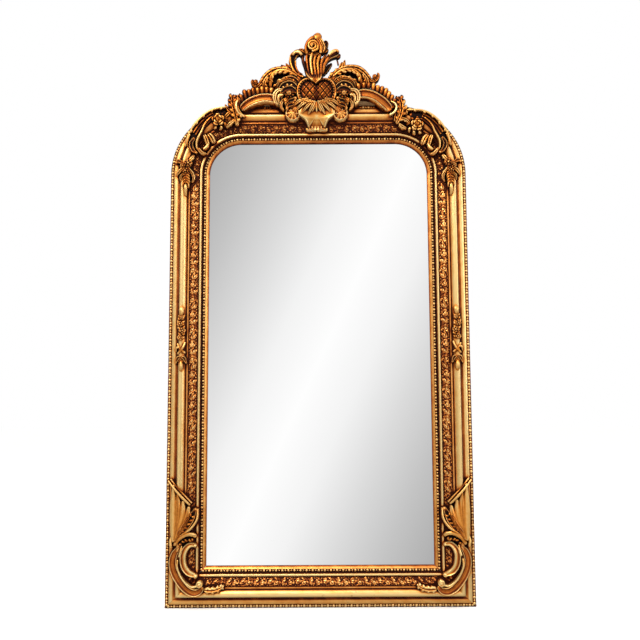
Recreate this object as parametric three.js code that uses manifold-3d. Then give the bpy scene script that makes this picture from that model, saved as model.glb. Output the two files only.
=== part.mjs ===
// A trumeau mirror in carved giltwood: a tall glass in a moulded frame with round shoulders, and a
// pierced rococo crest. Millimetres, +Z up, the glass looks along -Y. The origin is the middle of the
// flat underside of the bottom rail.
//
// Places on the frame are written as (u, d): u runs inwards from the outer edge towards the glass,
// d runs forwards from the plane of the frame's back. Ornament is written as (x, z) from an anchor
// on the frame, with its rise above the front of the torus moulding.

import * as THREE from "three";
import { mergeVertices } from "three/addons/utils/BufferGeometryUtils.js";
import Module from "manifold-3d";

const wasm = await Module();
wasm.setup();

// ---------------------------------------------------------------- driving sizes

const FRAME_WIDTH = 1070;
const FRAME_HEIGHT = 1782;
const SHOULDER_RADIUS = 255;
const CLEARANCE = 0.3; // between two pieces that touch

// The moulding, from the outer edge inwards.
const EDGE_DEPTH = 34;
const EDGE_LAND = 1.5;
const PEARL_RADIUS = 5.5;
const BAND_GAP = 2;
const BAND_WIDTH = 13.5;
const BAND_DEPTH = 44;
const RECESS_WIDTH = 10;
const RECESS_DROP = 6;
const TORUS_WIDTH = 23;
const TORUS_DEPTH = 62;
const TORUS_SIDE_DEPTH = 48;
const GROOVE_WIDTH = 5;
const COVE_WIDTH = 7;
const COVE_DEPTH = 49;
const FRIEZE_WIDTH = 32;
const FRIEZE_CROWN = 45;
const FRIEZE_LOW = 35;
const FILLET_WIDTH = 9;
const FILLET_DEPTH = 41;
const LIP_WIDTH = 4;
const LIP_DEPTH = 29;

// The slip that lines the sight edge.
const BEAD_RADIUS = 4.3;
const BEAD_BED_DEPTH = 28;
const BEVEL_WIDTH = 11.5;
const SIGHT_EDGE_DEPTH = 23;

// The glass and what backs it.
const REBATE_WIDTH = 10;
const GLASS_FACE_DEPTH = 20;
const GLASS_THICKNESS = 4;
const GLASS_MARGIN = 3; // between the glass and the rebate's wall
const BACKING_THICKNESS = 9.5;
const BACKING_SPLIT_HEIGHT = 930;

// The crest's own board, the cleat behind it and the straps that tie it to the rail.
const CREST_OFFSET = -5; // the crest was fixed a little to the left of the middle
const CREST_BOARD_THICKNESS = 24;
const CREST_BOARD_BACK = 20;
const CLEAT_LENGTH = 300;
const CLEAT_HEIGHT = 26;
const STRAP_SPACING = 190;
const PLATE_WIDTH = 20;
const PLATE_THICKNESS = 2;
const PLATE_LENGTH = 76;
const SCREW_HOLE_RADIUS = 2.2;
const SCREW_INSET = 10;

// Hangers and wall pads on the back.
const HANGER_HEIGHT = 1340;
const HANGER_INSET = 40; // outer edge of the frame to the strap's end
const HANGER_STRAP_LENGTH = 42;
const HANGER_STRAP_WIDTH = 18;
const RING_WIRE_RADIUS = 1.75;
const RING_HALF_SPAN = 13;
const RING_REACH = 22;
const EYE_WALL = 1.8;
const PAD_RADIUS = 15;
const PAD_THICKNESS = 10;
const PAD_INSET = 60;
const PAD_LOW = 70;
const PAD_ABOVE_HANGER = 140;

// Ornament heights above the front of the torus.
const HEART_RISE = 50;
const HEART_LOBE_RADIUS = 34;
const HEART_LOBE_SPACING = 34;
const HEART_HEIGHT = 28; // centre of the lobes above the frame's top
const ROSE_RADIUS = 24;
const ROSE_PETALS = 5;
const GADROON_HALF_WIDTH = 9.5;
const GADROON_LEAN = 0.45; // 0 stands upright, 1 stands square to the arc
const GARLAND_PAIRS = 3;
const GARLAND_MIDDLE = 926;
const GARLAND_LENGTH = 236;
const BUD_LENGTH = 46;

const CURVE_STEPS = 8; // along each shoulder; even, because a sheet's arc takes half of it twice
const ROUND_STEPS = 8; // round a screw eye, a wire or half a pad
const BOSS_SIDES = 7;
const WIRE_SIDES = 6;

// ---------------------------------------------------------------- derived sizes

const HALF_WIDTH = FRAME_WIDTH / 2;
const BACK_Y = EDGE_DEPTH / 2;
const SHOULDER_Z = FRAME_HEIGHT - SHOULDER_RADIUS;
const SHOULDER_X = HALF_WIDTH - SHOULDER_RADIUS;
const MITRE_CLEARANCE = CLEARANCE * Math.SQRT2;

const PEARL_U = EDGE_LAND + PEARL_RADIUS;
const BAND_U = PEARL_U + PEARL_RADIUS + BAND_GAP;
const RECESS_U = BAND_U + BAND_WIDTH;
const TORUS_U = RECESS_U + RECESS_WIDTH;
const TORUS_CENTRE_U = TORUS_U + TORUS_WIDTH / 2;
const GROOVE_U = TORUS_U + TORUS_WIDTH;
const COVE_U = GROOVE_U + GROOVE_WIDTH;
const FRIEZE_U = COVE_U + COVE_WIDTH;
const FILLET_U = FRIEZE_U + FRIEZE_WIDTH;
const LIP_U = FILLET_U + FILLET_WIDTH;
const FRAME_U = LIP_U + LIP_WIDTH;
const SLIP_U = FRAME_U + CLEARANCE;
const BEAD_U = SLIP_U + 1.2 + BEAD_RADIUS;
const BEVEL_U = BEAD_U + BEAD_RADIUS;
const SIGHT_U = BEVEL_U + BEVEL_WIDTH;
const REBATE_U = FRAME_U - REBATE_WIDTH;

const GLASS_U = REBATE_U + GLASS_MARGIN;
const GLASS_FRONT = GLASS_FACE_DEPTH - CLEARANCE;
const GLASS_BACK = GLASS_FRONT - GLASS_THICKNESS;
const CREST_BOARD_FRONT = CREST_BOARD_BACK + CREST_BOARD_THICKNESS;
const CREST_SEAT = CREST_BOARD_FRONT + CLEARANCE;
const FRAME_SEAT = FRIEZE_LOW - 3; // ornament on the frame is cut back from here to the moulding
const FIXING_DEPTH = -CLEARANCE; // plates, hangers and pads lie behind the back plane

// ---------------------------------------------------------------- materials

const material = (color, roughness, metalness) =>
  new THREE.MeshStandardMaterial({ color, roughness, metalness });
const GILT = material(0xd9a441, 0.38, 0.85);
const BRIGHT_GILT = material(0xf0c970, 0.3, 0.9);
const OLD_GILT = material(0xb57d35, 0.45, 0.8);
const SILVERED_GLASS = material(0xc8cccd, 0.03, 1.0);
const PINE = material(0x9b7a52, 0.85, 0);
const STEEL = material(0x8a8a88, 0.45, 0.9);
const FELT = material(0x3b3a36, 0.95, 0);

// ---------------------------------------------------------------- solids

const group = new THREE.Group();

function add(name, geometry, finish) {
  const mesh = new THREE.Mesh(geometry, finish);
  mesh.name = name;
  group.add(mesh);
  return mesh;
}

const at = (x, d, z) => new THREE.Vector3(x, BACK_Y - d, z);

function signedVolume(positions, index) {
  const [a, b, c] = [new THREE.Vector3(), new THREE.Vector3(), new THREE.Vector3()];
  let volume = 0;
  for (let i = 0; i < index.length; i += 3) {
    a.fromArray(positions, index[i] * 3);
    b.fromArray(positions, index[i + 1] * 3);
    c.fromArray(positions, index[i + 2] * 3);
    volume += a.dot(b.cross(c)) / 6;
  }
  return volume;
}

function closedGeometry(points, index) {
  const positions = points.flatMap((p) => [p.x, p.y, p.z]);
  if (signedVolume(positions, index) < 0) index.reverse();
  const geometry = new THREE.BufferGeometry();
  geometry.setAttribute("position", new THREE.Float32BufferAttribute(positions, 3));
  geometry.setIndex(index);
  return geometry;
}

// Joins rings of equal length with quads. A looped loft meets its own start, and any other is capped
// with the triangles of its outline.
function loft(rings, outline) {
  const count = rings[0].length;
  const looped = !outline;
  const index = [];
  for (let i = 0; i < rings.length - (looped ? 0 : 1); i++) {
    const here = i * count;
    const next = ((i + 1) % rings.length) * count;
    for (let j = 0; j < count; j++) {
      const k = (j + 1) % count;
      index.push(here + j, here + k, next + k, here + j, next + k, next + j);
    }
  }
  if (!looped) {
    const last = (rings.length - 1) * count;
    for (const [a, b, c] of THREE.ShapeUtils.triangulateShape(outline, [])) {
      const turned = THREE.ShapeUtils.isClockWise(outline);
      const [p, q] = turned ? [b, c] : [c, b];
      index.push(a, p, q);
      index.push(last + a, last + q, last + p);
    }
  }
  return closedGeometry(rings.flat(), index);
}

function toSolid(geometry) {
  const bare = new THREE.BufferGeometry();
  bare.setAttribute("position", geometry.getAttribute("position"));
  if (geometry.index) bare.setIndex(geometry.index);
  const merged = mergeVertices(bare, 1e-4);
  return new wasm.Manifold(
    new wasm.Mesh({
      numProp: 3,
      vertProperties: new Float32Array(merged.attributes.position.array),
      triVerts: new Uint32Array(merged.index.array),
    }),
  );
}

// The largest connected body of a solid: a cut can leave a chip that no carver would keep.
function toGeometry(solid) {
  const { numProp, vertProperties, triVerts } = solid.getMesh();
  const parent = Array.from({ length: vertProperties.length / numProp }, (_, i) => i);
  const root = (i) => {
    while (parent[i] !== i) i = parent[i];
    return i;
  };
  for (let i = 0; i < triVerts.length; i += 3) {
    parent[root(triVerts[i + 1])] = root(triVerts[i]);
    parent[root(triVerts[i + 2])] = root(triVerts[i]);
  }
  const bodies = new Map();
  for (let i = 0; i < triVerts.length; i += 3) {
    const body = root(triVerts[i]);
    if (!bodies.has(body)) bodies.set(body, []);
    bodies.get(body).push(...triVerts.subarray(i, i + 3));
  }
  let kept = null;
  let most = 0;
  for (const index of bodies.values()) {
    const volume = signedVolume(vertProperties, index);
    if (volume > most) [kept, most] = [index, volume];
  }
  const geometry = new THREE.BufferGeometry();
  geometry.setAttribute("position", new THREE.Float32BufferAttribute(vertProperties, 3));
  geometry.setIndex(kept);
  return geometry;
}

const joined = (geometries) => geometries.map(toSolid).reduce((a, b) => a.add(b));
const cutBy = (solid, cutters) => cutters.reduce((a, b) => a.subtract(b), solid);

// ---------------------------------------------------------------- frame and slip profiles

// Half a bead course, as seen in section: an arch of the bead's radius on its bed.
function beadArch(centre, radius, bed) {
  return [35, 90, 145].map((angle) => {
    const turn = THREE.MathUtils.degToRad(180 - angle);
    return [centre + radius * Math.cos(turn), bed + radius * Math.sin(turn) * 1.6];
  });
}

function frameProfile() {
  const torusHalf = TORUS_WIDTH / 2;
  const torus = [-1, -0.8, -0.35, 0.35, 0.8, 1].map((s) => [
    TORUS_CENTRE_U + s * torusHalf,
    TORUS_SIDE_DEPTH + (TORUS_DEPTH - TORUS_SIDE_DEPTH) * Math.sqrt(1 - s * s),
  ]);
  const front = [
    [0, EDGE_DEPTH],
    [EDGE_LAND, EDGE_DEPTH + 1],
    ...beadArch(PEARL_U, PEARL_RADIUS, EDGE_DEPTH + 1),
    [BAND_U - BAND_GAP, EDGE_DEPTH + 2],
    [BAND_U, BAND_DEPTH - 3],
    [RECESS_U, BAND_DEPTH],
    [RECESS_U + 1, BAND_DEPTH - RECESS_DROP],
    [TORUS_U - 2, BAND_DEPTH - 2],
    ...torus,
    [COVE_U - 1, TORUS_SIDE_DEPTH - 1],
    [COVE_U, COVE_DEPTH],
    [FRIEZE_U, FRIEZE_CROWN - 1],
    [FRIEZE_U + 0.3 * FRIEZE_WIDTH, FRIEZE_CROWN],
    [FRIEZE_U + 0.7 * FRIEZE_WIDTH, FRIEZE_CROWN - 4],
    [FILLET_U, FRIEZE_LOW],
    [FILLET_U + 0.2 * FILLET_WIDTH, FILLET_DEPTH - 2],
    [FILLET_U + 0.5 * FILLET_WIDTH, FILLET_DEPTH],
    [FILLET_U + 0.8 * FILLET_WIDTH, FILLET_DEPTH - 2],
    [LIP_U, LIP_DEPTH + 1],
    [FRAME_U, LIP_DEPTH],
  ];
  return [
    [REBATE_U, 0],
    [0, 0],
    ...front,
    [FRAME_U, GLASS_FACE_DEPTH],
    [REBATE_U, GLASS_FACE_DEPTH],
  ];
}

function slipProfile() {
  return [
    [SLIP_U, GLASS_FACE_DEPTH + CLEARANCE],
    [SLIP_U, BEAD_BED_DEPTH],
    ...beadArch(BEAD_U, BEAD_RADIUS, BEAD_BED_DEPTH),
    [BEVEL_U, BEAD_BED_DEPTH],
    [SIGHT_U, SIGHT_EDGE_DEPTH],
    [SIGHT_U, GLASS_FACE_DEPTH + CLEARANCE],
  ];
}

// Stations of the frame's line. Each turns a profile point into a point in space; side is -1 for the
// left half and 1 for the right.
const mitre = (side, inset = 0) => (u, d) => at(side * (HALF_WIDTH - u - inset), d, u);
const stileTop = (side) => (u, d) => at(side * (HALF_WIDTH - u), d, SHOULDER_Z - CLEARANCE);
const railEnd = (side) => (u, d) => at(side * (SHOULDER_X - CLEARANCE), d, FRAME_HEIGHT - u);
const shoulderAt = (side, turn) => (u, d) => {
  const radius = SHOULDER_RADIUS - u;
  return at(side * (SHOULDER_X + radius * Math.cos(turn)), d, SHOULDER_Z + radius * Math.sin(turn));
};

const shoulderStations = (side) =>
  Array.from({ length: CURVE_STEPS + 1 }, (_, i) => {
    return shoulderAt(side, (i / CURVE_STEPS) * (Math.PI / 2));
  });

const ringAt = (station, profile) => profile.map(([u, d]) => station(u, d));

function member(profile, stations) {
  const outline = profile.map(([u, d]) => new THREE.Vector2(u, d));
  return loft(
    stations.map((station) => ringAt(station, profile)),
    outline,
  );
}

// The six lengths of a moulding round the glass. The bottom corners are mitred, and the shoulders are
// butted to the stiles and to the top rail.
function mouldingSet(suffix, profile, finish) {
  for (const [side, word] of [[-1, "left"], [1, "right"]]) {
    add(`${word}_${suffix}`, member(profile, [mitre(side), stileTop(side)]), finish);
    add(`${word}_shoulder_${suffix}`, member(profile, shoulderStations(side)), finish);
  }
  const short = MITRE_CLEARANCE;
  add(`bottom_${suffix}`, member(profile, [mitre(-1, -short), mitre(1, -short)].map(trimmed)), finish);
  add(`top_${suffix}`, member(profile, [railEnd(-1), railEnd(1)]), finish);
}

// The bottom rail stops short of the mitre by the clearance.
function trimmed(station) {
  return (u, d) => {
    const point = station(u, d);
    point.x -= 2 * Math.sign(point.x) * MITRE_CLEARANCE;
    return point;
  };
}

mouldingSet("frame", frameProfile(), GILT);
mouldingSet("slip", slipProfile(), OLD_GILT);

// The moulding's whole line, raised by the clearance: it cuts the backs of the ornament to shape. The
// plaster behind the ornament bridges the pearl course, the recess and the groove.
function mouldingCutter() {
  const half = TORUS_WIDTH / 2;
  const front = [
    [-CLEARANCE, EDGE_DEPTH + 2],
    [PEARL_U - PEARL_RADIUS, BAND_DEPTH],
    [TORUS_U - 2 - CLEARANCE, BAND_DEPTH + 1],
    [TORUS_U - CLEARANCE, TORUS_SIDE_DEPTH + CLEARANCE],
    [TORUS_CENTRE_U - 0.72 * half, TORUS_DEPTH - 1],
    [TORUS_CENTRE_U + 0.72 * half, TORUS_DEPTH - 1],
    [GROOVE_U + CLEARANCE, COVE_DEPTH + 2],
    [FRAME_U + CLEARANCE, FILLET_DEPTH],
  ];
  const profile = [
    [FRAME_U + CLEARANCE, 0],
    [-CLEARANCE, 0],
    ...front.map(([u, d]) => [u, d + CLEARANCE]),
  ];
  const right = [mitre(1), ...shoulderStations(1)];
  const left = [mitre(-1), ...shoulderStations(-1)];
  const stations = [...right, ...left.reverse()];
  return toSolid(loft(stations.map((station) => ringAt(station, profile))));
}

const MOULDING = mouldingCutter();

// ---------------------------------------------------------------- glass and backing

// The outline of a sheet inside the frame, u in from the outer edge, between two heights.
function sheetOutline(u, low, high) {
  const radius = SHOULDER_RADIUS - u;
  const shape = new THREE.Shape();
  shape.moveTo(-(HALF_WIDTH - u), low);
  shape.lineTo(HALF_WIDTH - u, low);
  if (high > SHOULDER_Z) {
    shape.absarc(SHOULDER_X, SHOULDER_Z, radius, 0, Math.PI / 2);
    shape.absarc(-SHOULDER_X, SHOULDER_Z, radius, Math.PI / 2, Math.PI);
  } else {
    shape.lineTo(HALF_WIDTH - u, high);
    shape.lineTo(-(HALF_WIDTH - u), high);
  }
  return shape;
}

// A flat shape drawn in X and Z, with its back at depth d.
function plate(shape, d, thickness, curveSegments = CURVE_STEPS / 2) {
  const geometry = new THREE.ExtrudeGeometry(shape, {
    depth: thickness,
    bevelEnabled: false,
    curveSegments,
  });
  geometry.rotateX(Math.PI / 2);
  geometry.translate(0, BACK_Y - d, 0);
  return geometry;
}

const glassOutline = sheetOutline(GLASS_U, GLASS_U, FRAME_HEIGHT);
add("mirror_glass", plate(glassOutline, GLASS_BACK, GLASS_THICKNESS), SILVERED_GLASS);

const BACKING_U = REBATE_U + 2 * CLEARANCE;
const BACKING_BACK = GLASS_BACK - CLEARANCE - BACKING_THICKNESS;
const backing = (low, high) => plate(sheetOutline(BACKING_U, low, high), BACKING_BACK, BACKING_THICKNESS);
add("lower_backing_board", backing(BACKING_U, BACKING_SPLIT_HEIGHT), PINE);
add("upper_backing_board", backing(BACKING_SPLIT_HEIGHT + CLEARANCE, FRAME_HEIGHT), PINE);

// ---------------------------------------------------------------- ornament

// Sections across an ornament: [share of the half width, share of the height].
const ROUND = [[-1, 0], [-0.86, 0.66], [0, 1], [0.86, 0.66], [1, 0]];
const LEAF = [[-1, 0], [-0.72, 1], [0, 0.72], [0.72, 1], [1, 0]];
const CHANNEL = [[-1, 0], [-0.9, 1], [-0.6, 0.62], [0.6, 0.62], [0.9, 1], [1, 0]];
const FLAT = [[-1, 0], [-0.86, 1], [0.86, 1], [1, 0]];

// Where a group of ornament is measured from, and the depth that it starts from.
const crest = { x: CREST_OFFSET, z: FRAME_HEIGHT, seat: CREST_SEAT, mirror: 1 };
const crestOnRail = { ...crest, seat: FRAME_SEAT };
const onFrame = (mirror, x, z) => ({ x: mirror * x, z, seat: FRAME_SEAT, mirror });
const leftShoulder = onFrame(-1, SHOULDER_X, FRAME_HEIGHT);
const rightShoulder = onFrame(1, SHOULDER_X, FRAME_HEIGHT);
const onTorus = (mirror) => onFrame(mirror, HALF_WIDTH - TORUS_CENTRE_U, SHOULDER_Z);
const atCorner = (mirror) => ({ ...onFrame(mirror, HALF_WIDTH, 0), mirror: -mirror });

// A section with its hollows filled, for a cutter that has to hold the whole strip.
const filled = (section) =>
  section.map(([across, height], i) => {
    const highest = (points) => Math.max(...points.map((point) => point[1]));
    return [across, Math.min(highest(section.slice(0, i + 1)), highest(section.slice(i)))];
  });

// A tapering strip of carving. Each stop is [x, z, half width, rise above the torus].
function band(place, stops, section, steps = 2 * stops.length, grow = 0) {
  const path = new THREE.CatmullRomCurve3(
    stops.map(([x, z]) => new THREE.Vector3(x, z, 0)),
    false,
    "catmullrom",
  );
  const size = new THREE.CatmullRomCurve3(
    stops.map(([, , halfWidth, rise]) => new THREE.Vector3(halfWidth, rise, 0)),
    false,
    "catmullrom",
  );
  const shape = grow > 0 ? filled(section) : section;
  const rings = [];
  for (let i = 0; i <= steps; i++) {
    const t = i / steps;
    const point = path.getPoint(t);
    const tangent = path.getTangent(t);
    const { x: halfWidth, y: rise } = size.getPoint(t);
    const past = i === 0 ? -grow : i === steps ? grow : 0;
    point.addScaledVector(tangent, past);
    const front = TORUS_DEPTH + rise + grow;
    rings.push(
      shape.map(([across, height]) => {
        const reach = across * (Math.max(halfWidth, 0.6) + grow);
        const x = point.x - tangent.y * reach;
        const z = point.y + tangent.x * reach;
        const depth = place.seat + (front - place.seat) * height;
        return at(place.x + place.mirror * x, depth, place.z + z);
      }),
    );
  }
  return loft(
    rings,
    section.map(([across, height]) => new THREE.Vector2(across, height)),
  );
}

// A round boss: a button, a bud or the eye of a curl.
function boss(place, x, z, radius, rise, grow = 0) {
  const rings = [
    [1, 0],
    [1, 0.55],
    [0.78, 0.86],
    [0.36, 1],
  ].map(([share, height]) =>
    Array.from({ length: BOSS_SIDES }, (_, i) => {
      const turn = (i / BOSS_SIDES) * 2 * Math.PI;
      const reach = share * (radius + grow);
      const depth = place.seat + (TORUS_DEPTH + rise + grow - place.seat) * height;
      return at(
        place.x + place.mirror * (x + reach * Math.cos(turn)),
        depth,
        place.z + z + reach * Math.sin(turn),
      );
    }),
  );
  const outline = Array.from({ length: BOSS_SIDES }, (_, i) => {
    const turn = (i / BOSS_SIDES) * 2 * Math.PI;
    return new THREE.Vector2(Math.cos(turn), Math.sin(turn));
  });
  return loft(rings, outline);
}

// A carving is a list of strips and bosses. It is made once at its own size, and once grown by the
// clearance to cut the carving that lies against it.
function carve(parts, grow = 0) {
  return joined(parts.map((part) => part(grow)));
}

const strip = (place, section, stops, steps) => (grow) => band(place, stops, section, steps, grow);
const button = (place, x, z, radius, rise) => (grow) => boss(place, x, z, radius, rise, grow);

const cutters = {};

function ornament(name, parts, neighbours, finish, extraCutters = []) {
  const others = neighbours.map((other) => cutters[other]);
  const solid = cutBy(carve(parts), [MOULDING, ...extraCutters, ...others]);
  cutters[name] = carve(parts, CLEARANCE);
  add(name, toGeometry(solid), finish);
}

// ---------------------------------------------------------------- crest board and cleat

// Half outlines of the board from the middle outwards: it stays behind the carving and clear of the
// pierced openings beside the plume.
const BOARD_LEFT = [
  [-30, 168], [-36, 100], [-75, 98], [-120, 118], [-165, 106], [-188, 76], [-200, 44], [-244, 34],
  [-262, 0],
];
const BOARD_RIGHT = [
  [22, 168], [16, 100], [60, 92], [110, 120], [150, 118], [182, 96], [196, 60], [240, 44],
  [258, 0],
];

// Moves each corner of a closed outline outwards, so that every side moves by the distance.
function offsetOutline(points, distance) {
  const count = points.length;
  const turned = THREE.ShapeUtils.area(points) > 0 ? 1 : -1;
  return points.map((point, i) => {
    const arriving = point.clone().sub(points[(i + count - 1) % count]).normalize();
    const leaving = points[(i + 1) % count].clone().sub(point).normalize();
    const bisector = arriving.clone().add(leaving).normalize();
    const reach = (turned * distance) / Math.max(bisector.dot(arriving), 0.3);
    return new THREE.Vector2(point.x + bisector.y * reach, point.y - bisector.x * reach);
  });
}

function crestBoard(grow = 0) {
  const corners = [...BOARD_LEFT].reverse().concat(BOARD_RIGHT).map(([x, z]) => {
    return new THREE.Vector2(CREST_OFFSET + x, FRAME_HEIGHT + Math.max(z, CLEARANCE));
  });
  const shape = new THREE.Shape(offsetOutline(corners, grow));
  return plate(shape, CREST_BOARD_BACK - grow, CREST_BOARD_THICKNESS + 2 * grow);
}

const BOARD = toSolid(crestBoard(CLEARANCE));
add("crest_board", crestBoard(), PINE);

function block([x0, x1], [d0, d1], [z0, z1]) {
  const geometry = new THREE.BoxGeometry(x1 - x0, d1 - d0, z1 - z0);
  geometry.translate((x0 + x1) / 2, BACK_Y - (d0 + d1) / 2, (z0 + z1) / 2);
  return geometry;
}

const cleatLeft = CREST_OFFSET - CLEAT_LENGTH / 2;
const cleatFoot = FRAME_HEIGHT + CLEARANCE;
const cleatAlong = [cleatLeft, cleatLeft + CLEAT_LENGTH];
const cleatDeep = [0, CREST_BOARD_BACK - CLEARANCE];
add("crest_cleat", block(cleatAlong, cleatDeep, [cleatFoot, cleatFoot + CLEAT_HEIGHT]), PINE);

// ---------------------------------------------------------------- carving of the crest

function heartOutline(share, grow) {
  const radius = HEART_LOBE_RADIUS * share + grow;
  const points = [];
  const arc = (centre, from, to) => {
    for (let i = 0; i <= 6; i++) {
      const turn = THREE.MathUtils.degToRad(from + ((to - from) * i) / 6);
      points.push([centre + radius * Math.cos(turn), HEART_HEIGHT + radius * Math.sin(turn)]);
    }
  };
  arc(HEART_LOBE_SPACING * share, -125, 125);
  points.push([0, HEART_HEIGHT + 0.5 * radius]);
  arc(-HEART_LOBE_SPACING * share, 55, 305);
  points.push([0, HEART_HEIGHT - 0.88 * radius]);
  return points;
}

// The bilobed cabochon in the middle of the crest: a raised rim round a cushioned face.
function heart(grow) {
  const levels = [[1, -1], [1, 0.4], [0.95, 0.62], [0.88, 0.56], [0.72, 0.84], [0.4, 1]];
  const rings = levels.map(([share, height]) =>
    heartOutline(share, grow).map(([x, z]) => {
      const depth = height < 0 ? crestOnRail.seat : TORUS_DEPTH + HEART_RISE * height + grow;
      return at(crest.x + x, depth, crest.z + z);
    }),
  );
  const outline = heartOutline(1, 0).map(([x, z]) => new THREE.Vector2(x, z));
  return loft(rings, outline);
}

ornament("crest_heart", [heart], [], BRIGHT_GILT, [BOARD]);

// A shield of plain gold over the rail, under a fan of narrow leaves, with a scallop on each side.
const scallop = (side) =>
  [-22, -58, -94].map((degrees) => {
    const turn = THREE.MathUtils.degToRad(degrees);
    const stop = (reach, halfWidth, rise) => [
      side * (62 + reach * Math.cos(turn)),
      -26 + reach * Math.sin(turn),
      halfWidth,
      rise,
    ];
    return strip(crestOnRail, ROUND, [stop(0, 6, 24), stop(42, 12, 18)], 1);
  });
const apronParts = [
  strip(crestOnRail, FLAT, [
    [0, -18, 50, 26], [0, -40, 58, 24], [0, -60, 42, 18], [0, -76, 27, 8], [0, -98, 22, -6],
  ], 5),
  strip(crestOnRail, FLAT, [[-84, -28, 12, 8], [84, -28, 12, 8]], 1),
  ...[[-56, -50], [0, -58], [56, -50]].map(([x, z]) =>
    strip(crestOnRail, ROUND, [[0.3 * x, -2, 8, 34], [x, z, 4, 20]], 1),
  ),
  ...scallop(-1),
  ...scallop(1),
];
ornament("crest_apron", apronParts, ["crest_heart"], BRIGHT_GILT, [BOARD]);

// Three petals beside the heart, on one ground.
function wing(mirror) {
  const place = { ...crestOnRail, mirror };
  const petals = [
    [[62, 54, 8, 22], [96, 64, 11, 32], [134, 46, 5, 16]],
    [[64, 34, 8, 24], [96, 36, 11, 36], [136, 14, 5, 18]],
    [[64, 12, 8, 24], [94, 8, 11, 34], [126, -14, 5, 16]],
  ];
  return [
    strip(place, FLAT, [[88, 56, 22, 6], [92, 6, 24, 8]], 1),
    ...petals.map((stops) => strip(place, LEAF, stops, 3)),
  ];
}

ornament("crest_left_wing", wing(-1), ["crest_heart", "crest_apron"], GILT, [BOARD]);
ornament("crest_right_wing", wing(1), ["crest_heart", "crest_apron"], GILT, [BOARD]);

// Flutes that rise from the heart's cleft and spread, with a long leaf bent round the left opening.
const plumeParts = [
  strip(crest, LEAF, [[-8, 64, 11, 24], [-14, 106, 12, 18], [-22, 150, 13, 12], [-22, 188, 12, 6]], 4),
  strip(crest, ROUND, [[5, 64, 9, 24], [4, 110, 9, 18], [0, 150, 10, 12], [2, 188, 12, 6]], 3),
  strip(crest, LEAF, [
    [12, 74, 8, 22], [17, 116, 11, 14], [32, 160, 15, 10], [56, 190, 15, 8], [80, 202, 6, 2],
  ], 5),
  strip(crest, ROUND, [[16, 96, 7, 12], [28, 128, 8, 6], [52, 156, 3, 0]], 2),
  strip(crest, LEAF, [[-20, 74, 8, 22], [-33, 112, 11, 14], [-40, 152, 12, 8], [-46, 188, 14, 4]], 3),
  strip(
    crest,
    LEAF,
    [
      [-30, 90, 8, 14], [-58, 102, 9, 10], [-79, 124, 9, 6], [-86, 158, 12, 4], [-78, 186, 14, 4],
      [-56, 196, 11, 6],
    ],
    7,
  ),
];
ornament("crest_plume", plumeParts, ["crest_heart"], GILT, [BOARD]);

const finialParts = [
  strip(crest, LEAF, [
    [0, 172, 28, 10], [-8, 206, 31, 20], [-6, 234, 26, 22], [-1, 254, 18, 16], [1, 268, 6, 8],
  ], 6),
  strip(crest, ROUND, [[14, 196, 12, 12], [26, 216, 11, 14], [39, 232, 6, 8]], 3),
  button(crest, -22, 214, 13, 28),
];
ornament("crest_finial", finialParts, ["crest_plume"], BRIGHT_GILT, [BOARD]);

// Each side of the crest is an arched acanthus leaf whose tip curls up, over two smaller arches.
const leftAcanthusParts = [
  strip(
    crest,
    LEAF,
    [
      [-50, 88, 10, 14], [-88, 114, 14, 14],
      [-124, 128, 14, 12], [-158, 125, 14, 10], [-184, 106, 12, 8],
      [-200, 90, 10, 6], [-216, 83, 9, 6], [-231, 90, 7, 6], [-230, 103, 5, 4],
    ],
    11,
  ),
  strip(crest, FLAT, [[-60, 66, 22, 4], [-104, 74, 34, 2], [-150, 76, 34, 0], [-182, 66, 22, -2]], 3),
  strip(crest, ROUND, [[-60, 82, 8, 14], [-98, 101, 10, 14], [-134, 104, 9, 12], [-164, 80, 5, 6]], 4),
  strip(crest, LEAF, [[-66, 62, 7, 18], [-92, 76, 8, 20], [-118, 76, 8, 16], [-140, 56, 5, 8]], 3),
  strip(crest, ROUND, [[-94, 118, 12, 8], [-132, 150, 3, 2]], 1),
];
const rightAcanthusParts = [
  strip(
    crest,
    LEAF,
    [
      [44, 86, 10, 14], [76, 116, 13, 14], [108, 131, 13, 12], [144, 132, 13, 10], [173, 119, 12, 8],
      [192, 103, 10, 6], [206, 96, 9, 6], [221, 102, 8, 6], [224, 117, 5, 4],
    ],
    11,
  ),
  strip(crest, FLAT, [[58, 66, 22, 4], [104, 78, 34, 2], [150, 80, 34, 0], [184, 74, 20, -2]], 3),
  strip(crest, ROUND, [[56, 84, 8, 14], [88, 107, 10, 14], [122, 112, 9, 12], [154, 90, 5, 6]], 4),
  strip(crest, LEAF, [[66, 64, 7, 18], [94, 82, 8, 20], [122, 82, 8, 16], [146, 60, 5, 8]], 3),
  strip(crest, ROUND, [[84, 116, 12, 8], [108, 166, 4, 2]], 1),
];
const besideHeart = ["crest_heart", "crest_plume"];
ornament("crest_left_acanthus", leftAcanthusParts, [...besideHeart, "crest_left_wing"], GILT, [BOARD]);
ornament("crest_right_acanthus", rightAcanthusParts, [...besideHeart, "crest_right_wing"], GILT, [BOARD]);

const LEFT_ARC = [
  [-275, -24, 12, 14], [-248, -4, 15, 20], [-218, 9, 16, 24], [-184, 15, 16, 24],
  [-154, 11, 15, 22], [-134, 2, 11, 16],
];
const RIGHT_ARC = [
  [138, 22, 12, 16], [162, 29, 16, 22], [187, 27, 17, 24], [217, 15, 17, 24], [245, -6, 17, 20],
  [269, -30, 14, 14],
];
const LEFT_GADROONS = [17, 31, 35, 37, 41, 45, 37];
const RIGHT_GADROONS = [25, 33, 35, 37, 41, 41, 33];

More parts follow.
